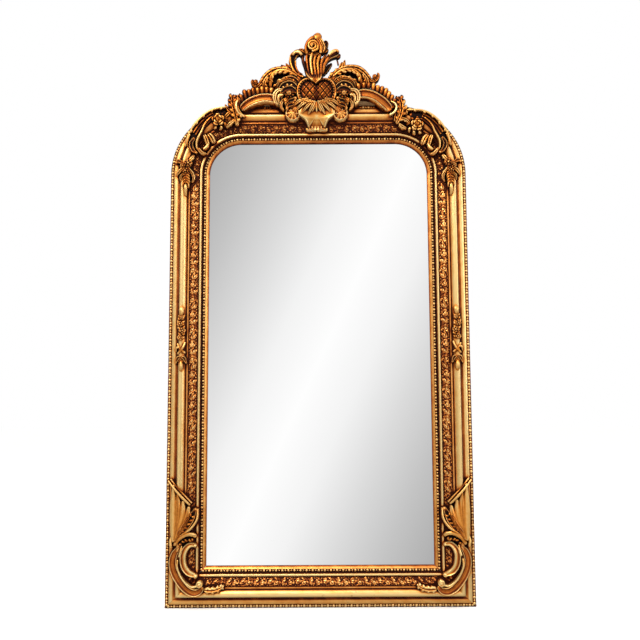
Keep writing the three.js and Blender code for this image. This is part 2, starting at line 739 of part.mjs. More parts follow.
// Lobes that stand nearly upright on the arc's upper rim, the shortest beside the heart.
function gadroons(arc, lengths) {
  const path = new THREE.CatmullRomCurve3(
    arc.map(([x, z, halfWidth]) => new THREE.Vector3(x, z, halfWidth)),
    false,
    "catmullrom",
  );
  const outwardsIsLeft = arc[0][0] < 0;
  const onRim = (share) => {
    const t = outwardsIsLeft ? 1 - share : share;
    const { x, y: z, z: halfWidth } = path.getPoint(t);
    const slope = path.getTangent(t);
    return { x, z, halfWidth, normal: Math.atan2(slope.x, -slope.y) };
  };
  const lobes = lengths.map((length, i) => {
    const { x, z, halfWidth, normal } = onRim((i + 0.5) / lengths.length);
    const lean = Math.PI / 2 + GADROON_LEAN * (normal - Math.PI / 2);
    const stop = (reach, share, rise) => [
      x + (halfWidth + 2) * Math.cos(normal) + reach * Math.cos(lean),
      z + (halfWidth + 2) * Math.sin(normal) + reach * Math.sin(lean),
      share * GADROON_HALF_WIDTH,
      rise,
    ];
    return strip(crest, ROUND, [stop(0, 0.8, 12), stop(0.6 * length, 1, 14), stop(length, 0.6, 4)], 2);
  });
  const bed = [0.06, 0.35, 0.65, 0.94].map((share) => {
    const { x, z, halfWidth, normal } = onRim(share);
    const reach = halfWidth + 4;
    return [x + reach * Math.cos(normal), z + reach * Math.sin(normal), 7, 2];
  });
  return [...lobes, strip(crest, ROUND, bed, 4)];
}

const ARC_SIDES = [
  ["left", LEFT_ARC, LEFT_GADROONS],
  ["right", RIGHT_ARC, RIGHT_GADROONS],
];
for (const [word, arc] of ARC_SIDES) {
  const channel = strip(crestOnRail, CHANNEL, arc, 10);
  ornament(`crest_${word}_arc`, [channel], [`crest_${word}_wing`], BRIGHT_GILT, [BOARD]);
}
for (const [word, arc, lengths] of ARC_SIDES) {
  const neighbours = ["arc", "acanthus", "wing"].map((piece) => `crest_${word}_${piece}`);
  ornament(`crest_${word}_gadroons`, gadroons(arc, lengths), neighbours, OLD_GILT, [BOARD]);
}

// ---------------------------------------------------------------- carving of the shoulders

// Measured from the spring of the shoulder's curve, at the frame's top: x runs outwards. Upright leaves
// end the crest on each shoulder.
const leftSprayParts = [
  strip(leftShoulder, LEAF, [
    [16, -88, 9, 6], [20, -50, 12, 12], [28, -14, 15, 14], [33, 20, 10, 6], [30, 36, 4, 2],
  ], 5),
  strip(leftShoulder, LEAF, [[24, -52, 8, 10], [40, -30, 11, 10], [58, -8, 6, 4]], 2),
  strip(leftShoulder, ROUND, [
    [-18, -48, 6, 8], [4, -38, 9, 12], [16, -10, 9, 16], [12, 24, 7, 12], [4, 46, 3, 6],
  ], 5),
  strip(leftShoulder, ROUND, [[18, -72, 8, 8], [46, -84, 6, 4]], 1),
];
const rightSprayParts = [
  strip(rightShoulder, LEAF, [[2, -72, 6, 6], [6, -42, 10, 14], [10, -8, 8, 10]], 3),
  strip(rightShoulder, LEAF, [[18, -60, 8, 10], [27, -30, 13, 14], [23, 6, 11, 12], [16, 22, 5, 6]], 4),
  strip(rightShoulder, ROUND, [[-4, -66, 5, 6], [20, -62, 9, 12], [40, -72, 6, 4]], 2),
];
ornament("left_spray", leftSprayParts, ["crest_left_arc", "crest_left_gadroons"], GILT, [BOARD]);
ornament("right_spray", rightSprayParts, ["crest_right_arc", "crest_right_gadroons"], GILT, [BOARD]);

function rose(place, x, z) {
  const petals = Array.from({ length: ROSE_PETALS }, (_, i) => {
    const turn = (i / ROSE_PETALS) * 2 * Math.PI + 0.4;
    const stop = (reach, halfWidth, rise) => [
      x + reach * ROSE_RADIUS * Math.cos(turn),
      z + reach * ROSE_RADIUS * Math.sin(turn),
      halfWidth * ROSE_RADIUS,
      rise,
    ];
    return strip(place, ROUND, [stop(0.15, 0.3, 8), stop(0.6, 0.55, 12), stop(1, 0.35, 4)], 2);
  });
  return [...petals, button(place, x, z, 0.45 * ROSE_RADIUS, 16)];
}

ornament("left_rose", rose(leftShoulder, 82, -62), ["left_spray"], GILT);
ornament("right_rose", rose(rightShoulder, 78, -84), ["right_spray"], GILT);

// A long leaf follows the shoulder and curls under; a hollow C scroll lies inside it.
const leftShoulderParts = [
  strip(
    leftShoulder,
    LEAF,
    [
      [50, -24, 8, 4], [88, -32, 12, 8], [116, -45, 14, 10], [139, -66, 15, 12], [161, -91, 15, 12],
      [181, -116, 13, 10], [191, -142, 10, 8], [184, -164, 8, 6], [168, -177, 5, 2],
    ],
    10,
  ),
  strip(leftShoulder, FLAT, [[106, -66, 14, 2], [138, -90, 20, 2], [168, -134, 18, 2]], 2),
  strip(leftShoulder, CHANNEL, [
    [108, -84, 7, 6], [132, -94, 11, 10], [151, -118, 12, 12], [156, -142, 10, 10],
    [148, -164, 6, 4],
  ], 6),
  strip(leftShoulder, LEAF, [[104, -106, 6, 4], [124, -122, 9, 8], [140, -150, 6, 4]], 2),
];
const rightShoulderParts = [
  strip(
    rightShoulder,
    LEAF,
    [
      [38, -38, 7, 4], [76, -38, 10, 8], [114, -58, 12, 12], [144, -90, 12, 12], [168, -117, 12, 12],
      [182, -142, 10, 10], [178, -164, 8, 6], [164, -177, 5, 2],
    ],
    10,
  ),
  strip(rightShoulder, FLAT, [[110, -78, 14, 2], [142, -106, 22, 2], [166, -142, 18, 2]], 2),
  strip(rightShoulder, CHANNEL, [
    [106, -102, 6, 4], [136, -120, 10, 10], [153, -146, 11, 12], [150, -168, 8, 8],
    [132, -180, 5, 2],
  ], 6),
  strip(rightShoulder, LEAF, [[102, -118, 6, 4], [114, -130, 8, 8], [128, -150, 5, 4]], 2),
];
ornament("left_shoulder_leaf", leftShoulderParts, ["left_spray", "left_rose"], GILT);
ornament("right_shoulder_leaf", rightShoulderParts, ["right_spray", "right_rose"], GILT);

// ---------------------------------------------------------------- floral drops and garlands

// Measured from the torus line at the spring of the shoulder: x runs outwards.
function drop(mirror) {
  const place = onTorus(mirror);
  return [
    strip(place, LEAF, [[-38, 64, 6, 0], [-22, 32, 12, 8], [6, 4, 12, 10], [24, -10, 5, 0]], 3),
    strip(place, LEAF, [[-24, 34, 8, 4], [-34, 4, 12, 8], [-40, -26, 10, 4], [-30, -48, 5, -6]], 3),
    button(place, -18, 32, 15, 14),
    strip(place, LEAF, [[0, 10, 9, 8], [-10, -24, 11, 10], [-8, -58, 10, 10], [-10, -86, 3, 0]], 4),
  ];
}

ornament("left_drop", drop(-1), ["left_shoulder_leaf"], GILT);
ornament("right_drop", drop(1), ["right_shoulder_leaf"], GILT);

// Paired leaves on a stem, with a bud at each end and a knot of crossed ribbon below the middle.
function garland(mirror) {
  const place = { ...onTorus(mirror), z: 0 };
  const low = GARLAND_MIDDLE - GARLAND_LENGTH / 2;
  const high = GARLAND_MIDDLE + GARLAND_LENGTH / 2;
  const knot = low + 0.34 * GARLAND_LENGTH;
  const firstLeaf = knot + 22;
  const pitch = (high - BUD_LENGTH - firstLeaf) / GARLAND_PAIRS;
  const bud = (tip, up) => {
    const stops = [[0, tip, 3, 0], [0, tip + up * 0.4 * BUD_LENGTH, 11, 9], [0, tip + up * BUD_LENGTH, 7, 6]];
    return strip(place, ROUND, stops, 2);
  };
  const parts = [
    strip(place, ROUND, [
      [0, high, 3, 0], [0, high - 0.4 * BUD_LENGTH, 11, 9], [0, high - BUD_LENGTH, 7, 6],
    ], 2),
    strip(place, ROUND, [[0, low, 3, 0], [0, low + 0.4 * BUD_LENGTH, 11, 9], [0, low + BUD_LENGTH, 7, 6]], 2),
    strip(place, ROUND, [[0, low + 0.8 * BUD_LENGTH, 7, 4], [0, high - 0.8 * BUD_LENGTH, 7, 4]], 1),
    strip(place, ROUND, [[-20, knot + 20, 7, 6], [20, knot - 20, 7, 6]], 1),
    strip(place, ROUND, [[-20, knot - 20, 7, 6], [20, knot + 20, 7, 6]], 1),
  ];
  for (let i = 0; i < GARLAND_PAIRS; i++) {
    const z = firstLeaf + i * pitch;
    for (const turn of [-1, 1]) {
      const lift = turn * 5;
      parts.push(strip(place, ROUND, [
        [0, z, 6, 5], [turn * 13, z + 18 + lift, 10, 11], [turn * 19, z + 36 + lift, 4, 2],
      ], 2));
    }
  }
  return parts;
}

ornament("left_garland", garland(-1), [], GILT);
ornament("right_garland", garland(1), [], GILT);

// ---------------------------------------------------------------- carving of the bottom corners

// A wide C scroll round the corner, with a bead in its lower end and a leaf along the rail.
// Measured from the frame's outer corner: x runs inwards.
function outerScroll(mirror) {
  const place = atCorner(mirror);
  const line = [
    [54, 208, 6, 2], [37, 190, 11, 8], [31, 164, 12, 12],
    [34, 138, 13, 14], [45, 112, 13, 14], [61, 88, 13, 14],
    [79, 69, 13, 14], [100, 59, 13, 14], [120, 62, 11, 12], [132, 76, 8, 8],
  ];
  return [
    strip(place, CHANNEL, line, 10),
    button(place, 122, 86, 10, 14),
    strip(place, LEAF, [[134, 64, 10, 8], [168, 67, 13, 8], [206, 80, 4, 0]], 3),
  ];
}

function innerScroll(mirror) {
  const place = atCorner(mirror);
  const line = [
    [110, 213, 6, 0], [90, 216, 9, 6], [75, 205, 10, 10],
    [66, 186, 11, 12], [65, 163, 11, 12], [70, 142, 11, 12],
    [81, 126, 10, 10], [95, 117, 8, 8], [108, 113, 5, 2],
  ];
  return [strip(place, CHANNEL, line, 10)];
}

function cornerLeaf(mirror) {
  const place = atCorner(mirror);
  return [
    strip(place, LEAF, [
      [38, 218, 9, 8], [52, 244, 22, 16], [54, 284, 31, 16], [51, 326, 28, 12], [36, 374, 17, 8],
      [14, 416, 4, 0],
    ], 7),
    strip(place, LEAF, [[62, 244, 12, 10], [86, 272, 15, 12], [103, 302, 10, 6], [112, 322, 4, -4]], 4),
    strip(place, ROUND, [[40, 216, 6, 8], [70, 245, 7, 12], [98, 254, 7, 6], [116, 250, 4, -4]], 5),
  ];
}

for (const [mirror, word] of [[-1, "left"], [1, "right"]]) {
  ornament(`${word}_outer_scroll`, outerScroll(mirror), [], BRIGHT_GILT);
  ornament(`${word}_inner_scroll`, innerScroll(mirror), [`${word}_outer_scroll`], BRIGHT_GILT);
  ornament(`${word}_corner_leaf`, cornerLeaf(mirror), [`${word}_outer_scroll`, `${word}_inner_scroll`], GILT);
}

// ---------------------------------------------------------------- fixings on the back

function circleHole(x, z) {
  const hole = new THREE.Path();
  hole.absarc(x, z, SCREW_HOLE_RADIUS, 0, 2 * Math.PI);
  return hole;
}

function outlineShape(points) {
  const shape = new THREE.Shape();
  points.forEach(([x, z], i) => (i ? shape.lineTo(x, z) : shape.moveTo(x, z)));
  return shape;
}

// Steel straps from the top rail to the crest's cleat.
const strapLow = FRAME_HEIGHT - PLATE_LENGTH + CLEAT_HEIGHT;
for (const [mirror, word] of [[-1, "left"], [1, "right"]]) {
  const x = CREST_OFFSET + (mirror * STRAP_SPACING) / 2;
  const half = PLATE_WIDTH / 2;
  const high = strapLow + PLATE_LENGTH;
  const shape = outlineShape([
    [x - half, strapLow], [x + half, strapLow], [x + half, high], [x - half, high],
  ]);
  shape.holes.push(circleHole(x, strapLow + SCREW_INSET), circleHole(x, high - SCREW_INSET));
  add(`crest_${word}_strap`, plate(shape, FIXING_DEPTH - PLATE_THICKNESS, PLATE_THICKNESS, 4), STEEL);
}

// Angle plates across the mitres.
for (const [mirror, word] of [[-1, "left"], [1, "right"]]) {
  const place = ([a, b]) => [mirror * (HALF_WIDTH - a), b];
  const near = 18;
  const far = near + PLATE_LENGTH;
  const inner = near + PLATE_WIDTH;
  const shape = outlineShape(
    [[near, near], [far, near], [far, inner], [inner, inner], [inner, far], [near, far]].map(place),
  );
  const holes = [[far - SCREW_INSET, near + SCREW_INSET], [near + SCREW_INSET, far - SCREW_INSET]];
  shape.holes.push(...holes.map(place).map(([x, z]) => circleHole(x, z)));
  add(`${word}_corner_plate`, plate(shape, FIXING_DEPTH - PLATE_THICKNESS, PLATE_THICKNESS, 4), STEEL);
}

// A strap hanger lies across each stile. Its eye holds the straight bar of a D ring, so the ring
// folds about an upright pin line.
const EYE_BORE = RING_WIRE_RADIUS + 1.4 * CLEARANCE;
const EYE_RADIUS = EYE_BORE + EYE_WALL;
const PIN_DEPTH = FIXING_DEPTH - EYE_RADIUS;
const PIN_FROM_EDGE = HANGER_INSET + HANGER_STRAP_LENGTH;

function hangerStrap(mirror) {
  const shape = new THREE.Shape();
  const start = Math.asin(1 - PLATE_THICKNESS / EYE_RADIUS);
  shape.moveTo(-HANGER_STRAP_LENGTH, 0);
  shape.lineTo(0, 0);
  shape.absarc(0, EYE_RADIUS, EYE_RADIUS, -Math.PI / 2, Math.PI + start);
  shape.lineTo(-HANGER_STRAP_LENGTH, PLATE_THICKNESS);
  const bore = new THREE.Path();
  bore.absarc(0, EYE_RADIUS, EYE_BORE, 0, 2 * Math.PI);
  shape.holes.push(bore);
  const geometry = new THREE.ExtrudeGeometry(shape, {
    depth: HANGER_STRAP_WIDTH,
    bevelEnabled: false,
    curveSegments: ROUND_STEPS,
  });
  if (mirror > 0) geometry.rotateY(Math.PI);
  const z = HANGER_HEIGHT + (mirror > 0 ? 1 : -1) * (HANGER_STRAP_WIDTH / 2);
  geometry.translate(mirror * (HALF_WIDTH - PIN_FROM_EDGE), BACK_Y - FIXING_DEPTH, z);
  return geometry;
}

// The D ring: a closed round wire, with its bar on the pin line.
function hangerRing(mirror) {
  const bend = RING_REACH - RING_HALF_SPAN;
  const path = [[0, -RING_HALF_SPAN], [0, 0], [0, RING_HALF_SPAN]];
  for (let i = 0; i <= ROUND_STEPS; i++) {
    const turn = Math.PI / 2 - (i / ROUND_STEPS) * Math.PI;
    path.push([bend + RING_HALF_SPAN * Math.cos(turn), RING_HALF_SPAN * Math.sin(turn)]);
  }
  const count = path.length;
  const rings = path.map(([x, z], i) => {
    const before = path[(i + count - 1) % count];
    const after = path[(i + 1) % count];
    const arriving = new THREE.Vector2(x - before[0], z - before[1]).normalize();
    const leaving = new THREE.Vector2(after[0] - x, after[1] - z).normalize();
    const along = arriving.clone().add(leaving).normalize();
    const stretch = 1 / Math.max(along.dot(arriving), 0.5);
    return Array.from({ length: WIRE_SIDES }, (_, k) => {
      const turn = ((k + 0.5) / WIRE_SIDES) * 2 * Math.PI;
      const across = RING_WIRE_RADIUS * Math.cos(turn) * stretch;
      return at(
        mirror * (HALF_WIDTH - PIN_FROM_EDGE - x + across * along.y),
        PIN_DEPTH + RING_WIRE_RADIUS * Math.sin(turn),
        HANGER_HEIGHT + z + across * along.x,
      );
    });
  });
  return loft(rings);
}

function padGeometry(mirror, z) {
  const geometry = new THREE.CylinderGeometry(PAD_RADIUS, PAD_RADIUS, PAD_THICKNESS, 2 * ROUND_STEPS);
  geometry.translate(mirror * (HALF_WIDTH - PAD_INSET), BACK_Y - FIXING_DEPTH + PAD_THICKNESS / 2, z);
  return geometry;
}

for (const [mirror, word] of [[-1, "left"], [1, "right"]]) {
  add(`${word}_hanger_strap`, hangerStrap(mirror), STEEL);
  add(`${word}_hanger_ring`, hangerRing(mirror), STEEL);
  add(`${word}_lower_pad`, padGeometry(mirror, PAD_LOW), FELT);
  add(`${word}_upper_pad`, padGeometry(mirror, HANGER_HEIGHT + PAD_ABOVE_HANGER), FELT);
}

export default group;
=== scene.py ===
"""A trumeau mirror in carved giltwood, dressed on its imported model: mouldings with their pearl courses
and carved frieze, a rococo crest, and the pine and steel of the back. Shapes are worked out in
millimetres, +Z up, with depth counted forwards from the plane of the frame's back."""

import math
from collections import namedtuple

import bpy
import numpy as np
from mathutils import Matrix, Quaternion, Vector


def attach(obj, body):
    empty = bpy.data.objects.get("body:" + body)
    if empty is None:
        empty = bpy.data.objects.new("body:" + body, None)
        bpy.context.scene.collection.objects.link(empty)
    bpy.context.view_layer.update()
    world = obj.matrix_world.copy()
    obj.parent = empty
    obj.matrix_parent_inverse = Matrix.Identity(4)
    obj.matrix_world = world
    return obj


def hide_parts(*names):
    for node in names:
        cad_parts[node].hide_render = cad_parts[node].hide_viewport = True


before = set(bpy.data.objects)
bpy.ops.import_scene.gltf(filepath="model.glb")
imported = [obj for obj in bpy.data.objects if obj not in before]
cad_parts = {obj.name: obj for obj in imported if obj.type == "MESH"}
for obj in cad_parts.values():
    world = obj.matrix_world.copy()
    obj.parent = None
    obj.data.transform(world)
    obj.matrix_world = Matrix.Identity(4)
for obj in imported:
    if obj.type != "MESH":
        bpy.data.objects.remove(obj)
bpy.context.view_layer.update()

# ---------------------------------------------------------------- sizes

MM = 0.001
SIDES = ((-1, "left"), (1, "right"))
HALF_WIDTH = 535.0
FRAME_HEIGHT = 1782.0
SHOULDER_RADIUS = 255.0
SHOULDER_X = HALF_WIDTH - SHOULDER_RADIUS
SHOULDER_Z = FRAME_HEIGHT - SHOULDER_RADIUS
BACK_Y = 17.0
CLEARANCE = 0.3

TORUS_DEPTH = 62.0
TORUS_MIDDLE = 49.5
PEARL_U = 7.0
PEARL_BED = 35.0
PEARL_PITCH = 10.15
PEARL_SIZES = ((6.0, 6.6), (4.2, 4.8))
BEAD_U = 123.8
BEAD_BED = 28.0
BEAD_PITCH = 10.4
BEAD_SIZES = ((4.7, 5.4), (3.1, 3.9))

FRIEZE_START, FRIEZE_END = 73.0, 105.0
FRIEZE_WIDE = int(FRIEZE_END - FRIEZE_START)
FRIEZE_BED, FRIEZE_FALL, FRIEZE_CURVE = 45.6, 10.4, 1.35
FRIEZE_REPEAT = 114
FRIEZE_RISE = 3.4

# How far apart the sections of a moulding are, and the edges in degrees that are shaded sharp.
FRAME_STEP, SLIP_STEP = 2.4, 5.0
MOULDING_EDGE, CARVING_EDGE = 40, 62

CREST_SEAT = 44.3
FRAME_SEAT = 32.0
HEART_X, HEART_Z = 0.0, 33.0
LOBE_RADIUS, LOBE_SPACING, HEART_TALL = 34.0, 33.0, 1.32

rng = np.random.default_rng(1782)

# A place to carve at: its x and z in the model, the depth of its seat, and -1 where x runs to the left.
Place = namedtuple("Place", "x z seat mirror")
CREST = Place(-5.0, FRAME_HEIGHT, CREST_SEAT, 1)
CREST_ON_RAIL = CREST._replace(seat=FRAME_SEAT)
TOP = Place(0.0, FRAME_HEIGHT, FRAME_SEAT, 1)


def on_torus(mirror, z=SHOULDER_Z):
    """A place on the middle of a stile's torus."""
    return Place(mirror * (HALF_WIDTH - TORUS_MIDDLE), z, FRAME_SEAT, mirror)


def at_corner(mirror):
    """A place at a bottom corner, with x inwards."""
    return Place(mirror * HALF_WIDTH, 0.0, FRAME_SEAT, -mirror)


def at(place, x, z, depth):
    """Points in the model, from x and z at the place and the depth from the back."""
    x, z, depth = np.broadcast_arrays(x, z, depth)
    return np.stack([place.x + place.mirror * x, BACK_Y - depth, place.z + z], axis=-1)


def polar(x, z, reach, angle):
    """The place at a distance and an angle from x and z."""
    return x + reach * math.cos(angle), z + reach * math.sin(angle)


# ---------------------------------------------------------------- closed surfaces

# tone darkens or brightens the gilding at each point: -0.5 is deep dirt with painted shade, 0.5 a rubbed
# ridge with a painted highlight.
Part = namedtuple("Part", "points quads triangles tone")


def outward(points, quads, triangles, tone):
    """A part with its faces turned to face out."""
    corners = np.vstack([triangles, quads[:, [0, 1, 2]], quads[:, [0, 2, 3]]])
    a, b, c = (points[corners[:, i]] for i in range(3))
    if np.einsum("ij,ij->", a, np.cross(b, c)) < 0:
        quads, triangles = quads[:, ::-1], triangles[:, ::-1]
    return Part(points, quads, triangles, tone)


def loft(rings, tone=0.0):
    """Joins rings of equal length, each a closed outline, and closes both ends with a fan."""
    count, size = rings.shape[:2]
    here = (np.arange(count - 1)[:, None] * size + np.arange(size)).ravel()
    beside = (np.arange(count - 1)[:, None] * size + np.roll(np.arange(size), -1)).ravel()
    quads = np.column_stack([here, beside, beside + size, here + size])
    flat = rings.reshape(-1, 3)
    hubs = np.stack([rings[0].mean(axis=0), rings[-1].mean(axis=0)])
    ring = np.arange(size)
    after = np.roll(ring, -1)
    last = (count - 1) * size
    start = np.column_stack([np.full(size, len(flat)), after, ring])
    end = np.column_stack([np.full(size, len(flat) + 1), last + ring, last + after])
    tone = np.append(np.broadcast_to(tone, (count, size)).ravel(), [0.0, 0.0])
    return outward(np.vstack([flat, hubs]), quads, np.vstack([start, end]), tone)


def merge(parts):
    """Many closed parts as one."""
    shift = np.cumsum([0] + [len(part.points) for part in parts[:-1]])
    return Part(
        np.vstack([part.points for part in parts]),
        np.vstack([part.quads + n for part, n in zip(parts, shift)]),
        np.vstack([part.triangles + n for part, n in zip(parts, shift)]),
        np.concatenate([part.tone for part in parts]),
    )


# Small relief is measured against this many points on each side. It tones the gilding by so much for each
# millimetre, within limits: painted shade in the small hollows and a painted highlight on the small ridges.
FINE_REACH = 2
FINE_SHARE = 0.3
FINE_LIMITS = (-0.38, 0.32)
# The foot of each strip and cushion is painted dark, as shade where the carving meets its ground.
FOOT_TONE = -0.4


def fine_relief(depth, wrap=False):
    """How far each point of a grid of depths stands above its neighbours, as a tone."""
    mean = depth
    span = 2 * FINE_REACH + 1
    for axis in (0, 1):
        reach = [(FINE_REACH, FINE_REACH) if axis == n else (0, 0) for n in (0, 1)]
        padded = np.pad(mean, reach, mode="wrap" if wrap and axis == 1 else "edge")
        size = mean.shape[axis]
        mean = sum(np.take(padded, np.arange(n, n + size), axis) for n in range(span)) / span
    return np.clip((depth - mean) * FINE_SHARE, *FINE_LIMITS)


carvings = []


def piece(name, parts, finish, replaced=(), body="mirror", sharp=CARVING_EDGE):
    """One object made of closed parts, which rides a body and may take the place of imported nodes."""
    made = merge(parts)
    mesh = bpy.data.meshes.new(name)
    mesh.vertices.add(len(made.points))
    mesh.vertices.foreach_set("co", (made.points * MM).astype(np.float32).ravel())
    corners = np.concatenate([made.quads.ravel(), made.triangles.ravel()])
    mesh.loops.add(len(corners))
    mesh.loops.foreach_set("vertex_index", corners.astype(np.int32))
    first_triangle = made.quads.size
    starts = np.append(4 * np.arange(len(made.quads)), first_triangle + 3 * np.arange(len(made.triangles)))
    mesh.polygons.add(len(starts))
    mesh.polygons.foreach_set("loop_start", starts.astype(np.int32))
    mesh.update(calc_edges=True)
    mesh.shade_smooth()
    mesh.set_sharp_from_angle(angle=math.radians(sharp))
    mesh.materials.append(finish)
    obj = bpy.data.objects.new(name, mesh)
    bpy.context.scene.collection.objects.link(obj)
    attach(obj, body)
    if replaced:
        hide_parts(*replaced)
    carvings.append((obj, made))


# ---------------------------------------------------------------- strips of carving


def smooth_line(stops, spacing):
    """A smooth line through the stops, in even steps, with every column carried along it."""
    stops = np.asarray(stops, float)
    ends = np.vstack([2 * stops[0] - stops[1], stops, 2 * stops[-1] - stops[-2]])
    t = np.linspace(0, 1, 20, endpoint=False)[:, None]
    spans = []
    for a, b, c, d in zip(ends, ends[1:], ends[2:], ends[3:]):
        cubic = (3 * b - a - 3 * c + d) * t**3
        spans.append(0.5 * (2 * b + (c - a) * t + (2 * a - 5 * b + 4 * c - d) * t**2 + cubic))
    line = np.vstack([*spans, stops[-1:]])
    run = np.concatenate([[0], np.cumsum(np.hypot(*np.diff(line[:, :2], axis=0).T))])
    even = np.linspace(0, run[-1], max(5, round(run[-1] / spacing)) + 1)
    return np.column_stack([np.interp(even, run, column) for column in line.T]), even


GROOVE_DEPTH, CROWN_FALL = 0.5, 0.12


def fluted(ridges):
    """A section with so many rounded ridges side by side."""

    def section(across):
        edge = np.sqrt(np.clip(1 - np.abs(across) ** 5, 0, 1))
        phase = (across + 1) / 2 * ridges
        valley = (2 * np.abs(phase - np.floor(phase) - 0.5)) ** 2.5
        inside = np.clip((1 - np.abs(across)) * ridges * 2, 0, 1)
        return edge * (1 - CROWN_FALL * across**2) * (1 - GROOVE_DEPTH * valley * inside)

    return section


def shaped(*knots):
    """A section through the knots, each a place across and a height."""
    places, heights = zip(*knots)
    return lambda across: np.interp(across, places, heights)


ROUND = fluted(1)
TWO_RIDGES = fluted(2)
THREE_RIDGES = fluted(3)
CHANNEL = shaped(
    (-1, 0), (-0.97, 0.6), (-0.9, 0.95), (-0.82, 1), (-0.74, 0.9), (-0.66, 0.42), (-0.4, 0.2), (0, 0.12),
    (0.4, 0.2), (0.66, 0.42), (0.74, 0.9), (0.82, 1), (0.9, 0.95), (0.97, 0.6), (1, 0),
)
ROLLED = shaped(
    (-1, 0), (-0.96, 0.6), (-0.88, 0.92), (-0.78, 1), (-0.66, 0.9), (-0.54, 0.5), (-0.3, 0.3),
    (0.1, 0.34), (0.5, 0.5), (0.78, 0.52), (0.93, 0.36), (1, 0),
)
SPOON = shaped(
    (-1, 0), (-0.95, 0.7), (-0.86, 1), (-0.74, 0.92), (-0.55, 0.5), (-0.25, 0.34), (0, 0.3),
    (0.25, 0.34), (0.55, 0.5), (0.74, 0.92), (0.86, 1), (0.95, 0.7), (1, 0),
)


def rolled_back(across):
    """The rolled section with its lip on the other side."""
    return ROLLED(-across)


# The waver of hand carving along a strip, as a share of its width and in millimetres of depth.
WAVER_LENGTHS = (7.0, 13.0, 29.0)
WAVER_WIDTH, WAVER_DEPTH = 0.05, 0.25
COLUMN_WIDTH, FEWEST_COLUMNS, MOST_COLUMNS = 1.3, 9, 33
# The share of a bend's radius that a strip may fill on its inside, and how wide its undercut foot is.
BEND_ROOM = 0.92
STRIP_FOOT, CUSHION_FOOT = 0.86, 0.94


def strip(
    place, stops, section=ROUND, lobes=None, veins=None, spacing=2.0, drop=0.9, most_drop=9.0, lift=0.0
):
    """A tapering strip of carving. Each stop is x, z, half width, rise above the torus. lobes is the
    pitch and depth of a scalloped margin, veins the pitch and depth of slanting grooves. lift brightens
    the gilding."""
    line, run = smooth_line(stops, spacing)
    x, z, half, rise = line.T
    half = np.maximum(half, 0.7)
    tangent = np.gradient(line[:, :2], axis=0)
    tangent /= np.linalg.norm(tangent, axis=1)[:, None]
    heading = np.unwrap(np.arctan2(tangent[:, 1], tangent[:, 0]))
    turn = np.gradient(heading) / np.maximum(np.gradient(run), 1e-6)

    nearest_end = np.clip(np.minimum(run / half[0], (run[-1] - run) / half[-1]), 0, 1)
    rounding = np.maximum(np.sqrt(1 - (1 - nearest_end) ** 2), 0.15)
    fall = np.minimum(drop * half, most_drop)
    phase = rng.uniform(0, 2 * math.pi, len(WAVER_LENGTHS))
    waver = sum(np.sin(run / length + p) for length, p in zip(WAVER_LENGTHS, phase)) / len(WAVER_LENGTHS)
    half = half * rounding * (1 + WAVER_WIDTH * waver)
    if lobes:
        pitch, depth = lobes
        half = half * (1 - depth * (1 - np.abs(np.sin(math.pi * run / pitch)) ** 0.6))

    columns = int(np.clip(round(2 * half.max() / COLUMN_WIDTH), FEWEST_COLUMNS, MOST_COLUMNS)) | 1
    across = -np.cos(np.linspace(0, math.pi, columns))
    reach = across * half[:, None]
    room = BEND_ROOM / np.maximum(np.abs(turn), 1e-6)[:, None]
    left_turn = turn[:, None] > 0
    reach = np.where(left_turn, np.minimum(reach, room), np.maximum(reach, -room))

    share = np.broadcast_to(section(across), reach.shape)
    if veins:
        pitch, depth = veins
        slant = run[:, None] / pitch + 0.9 * (1 - np.abs(across)) * half[:, None] / pitch
        share = share * (1 - depth * np.abs(np.cos(math.pi * slant)) ** 6 * np.abs(across) ** 0.5)
    front = TORUS_DEPTH + rise - (1 - rounding) * fall * 0.8 + WAVER_DEPTH * waver
    base = np.maximum(front - fall, place.seat + 1.0)
    depth = base[:, None] + np.maximum(front - base, 0.3)[:, None] * share

    def points(offset, depths):
        return at(place, x[:, None] - tangent[:, 1:] * offset, z[:, None] + tangent[:, :1] * offset, depths)

    seat = np.full((len(x), 1), place.seat)
    foot = [points(reach[:, [side]] * STRIP_FOOT, seat) for side in (-1, 0)]
    tone = np.pad(fine_relief(depth) + lift, ((0, 0), (0, 2)), constant_values=FOOT_TONE)
    return loft(np.concatenate([points(reach, depth), *foot], axis=1), tone)


def cushion(place, x, z, radius, height, rings, sides, lift=0.0):
    """A raised form round a middle. radius gives its outline by angle, and height its rise above the
    torus by share of the radius, angle and place."""
    angle = np.linspace(0, 2 * math.pi, sides, endpoint=False)
    outline = radius(angle)
    share = np.sin(np.linspace(0, math.pi / 2, rings))[::-1][:-1]
    share[0] = 1.0
    foot = CUSHION_FOOT * outline
    rows = [at(place, x + foot * np.cos(angle), z + foot * np.sin(angle), place.seat)]
    depths = []
    for reach in share:
        dx, dz = reach * outline * np.cos(angle), reach * outline * np.sin(angle)
        depths.append(np.maximum(TORUS_DEPTH + height(reach, angle, dx, dz) + 0 * angle, place.seat + 0.6))
        rows.append(at(place, x + dx, z + dz, depths[-1]))
    tone = np.vstack([np.full(sides, FOOT_TONE), fine_relief(np.stack(depths), wrap=True) + lift])
    return loft(np.stack(rows), tone)


def button(place, x, z, size, rise, dome=None, lift=0.1):
    """A round bead or bud."""
    dome = size if dome is None else dome
    return cushion(
        place,
        x,
        z,
        lambda angle: np.full_like(angle, size),
        lambda share, angle, dx, dz: rise - dome + dome * math.sqrt(max(1 - share**2, 0)),
        rings=9,
        sides=24,
        lift=lift,
    )


def curl(place, x, z, size, rise, turns, start, width=0.3):
    """The rolled end of a leaf, seen as a spiral ridge that climbs to its eye."""

    def radius(angle):
        return size * (1 + 0.03 * np.sin(3 * angle + start))

    def height(share, angle, dx, dz):
        spiral = share * turns - (angle - start) / (2 * math.pi)
        ridge = np.abs(np.cos(math.pi * spiral)) ** 0.8
        return rise - size * 0.35 * share**2 - (1 - ridge) * size * width * min(1.0, 2.2 * share)

    return cushion(place, x, z, radius, height, rings=22, sides=56)


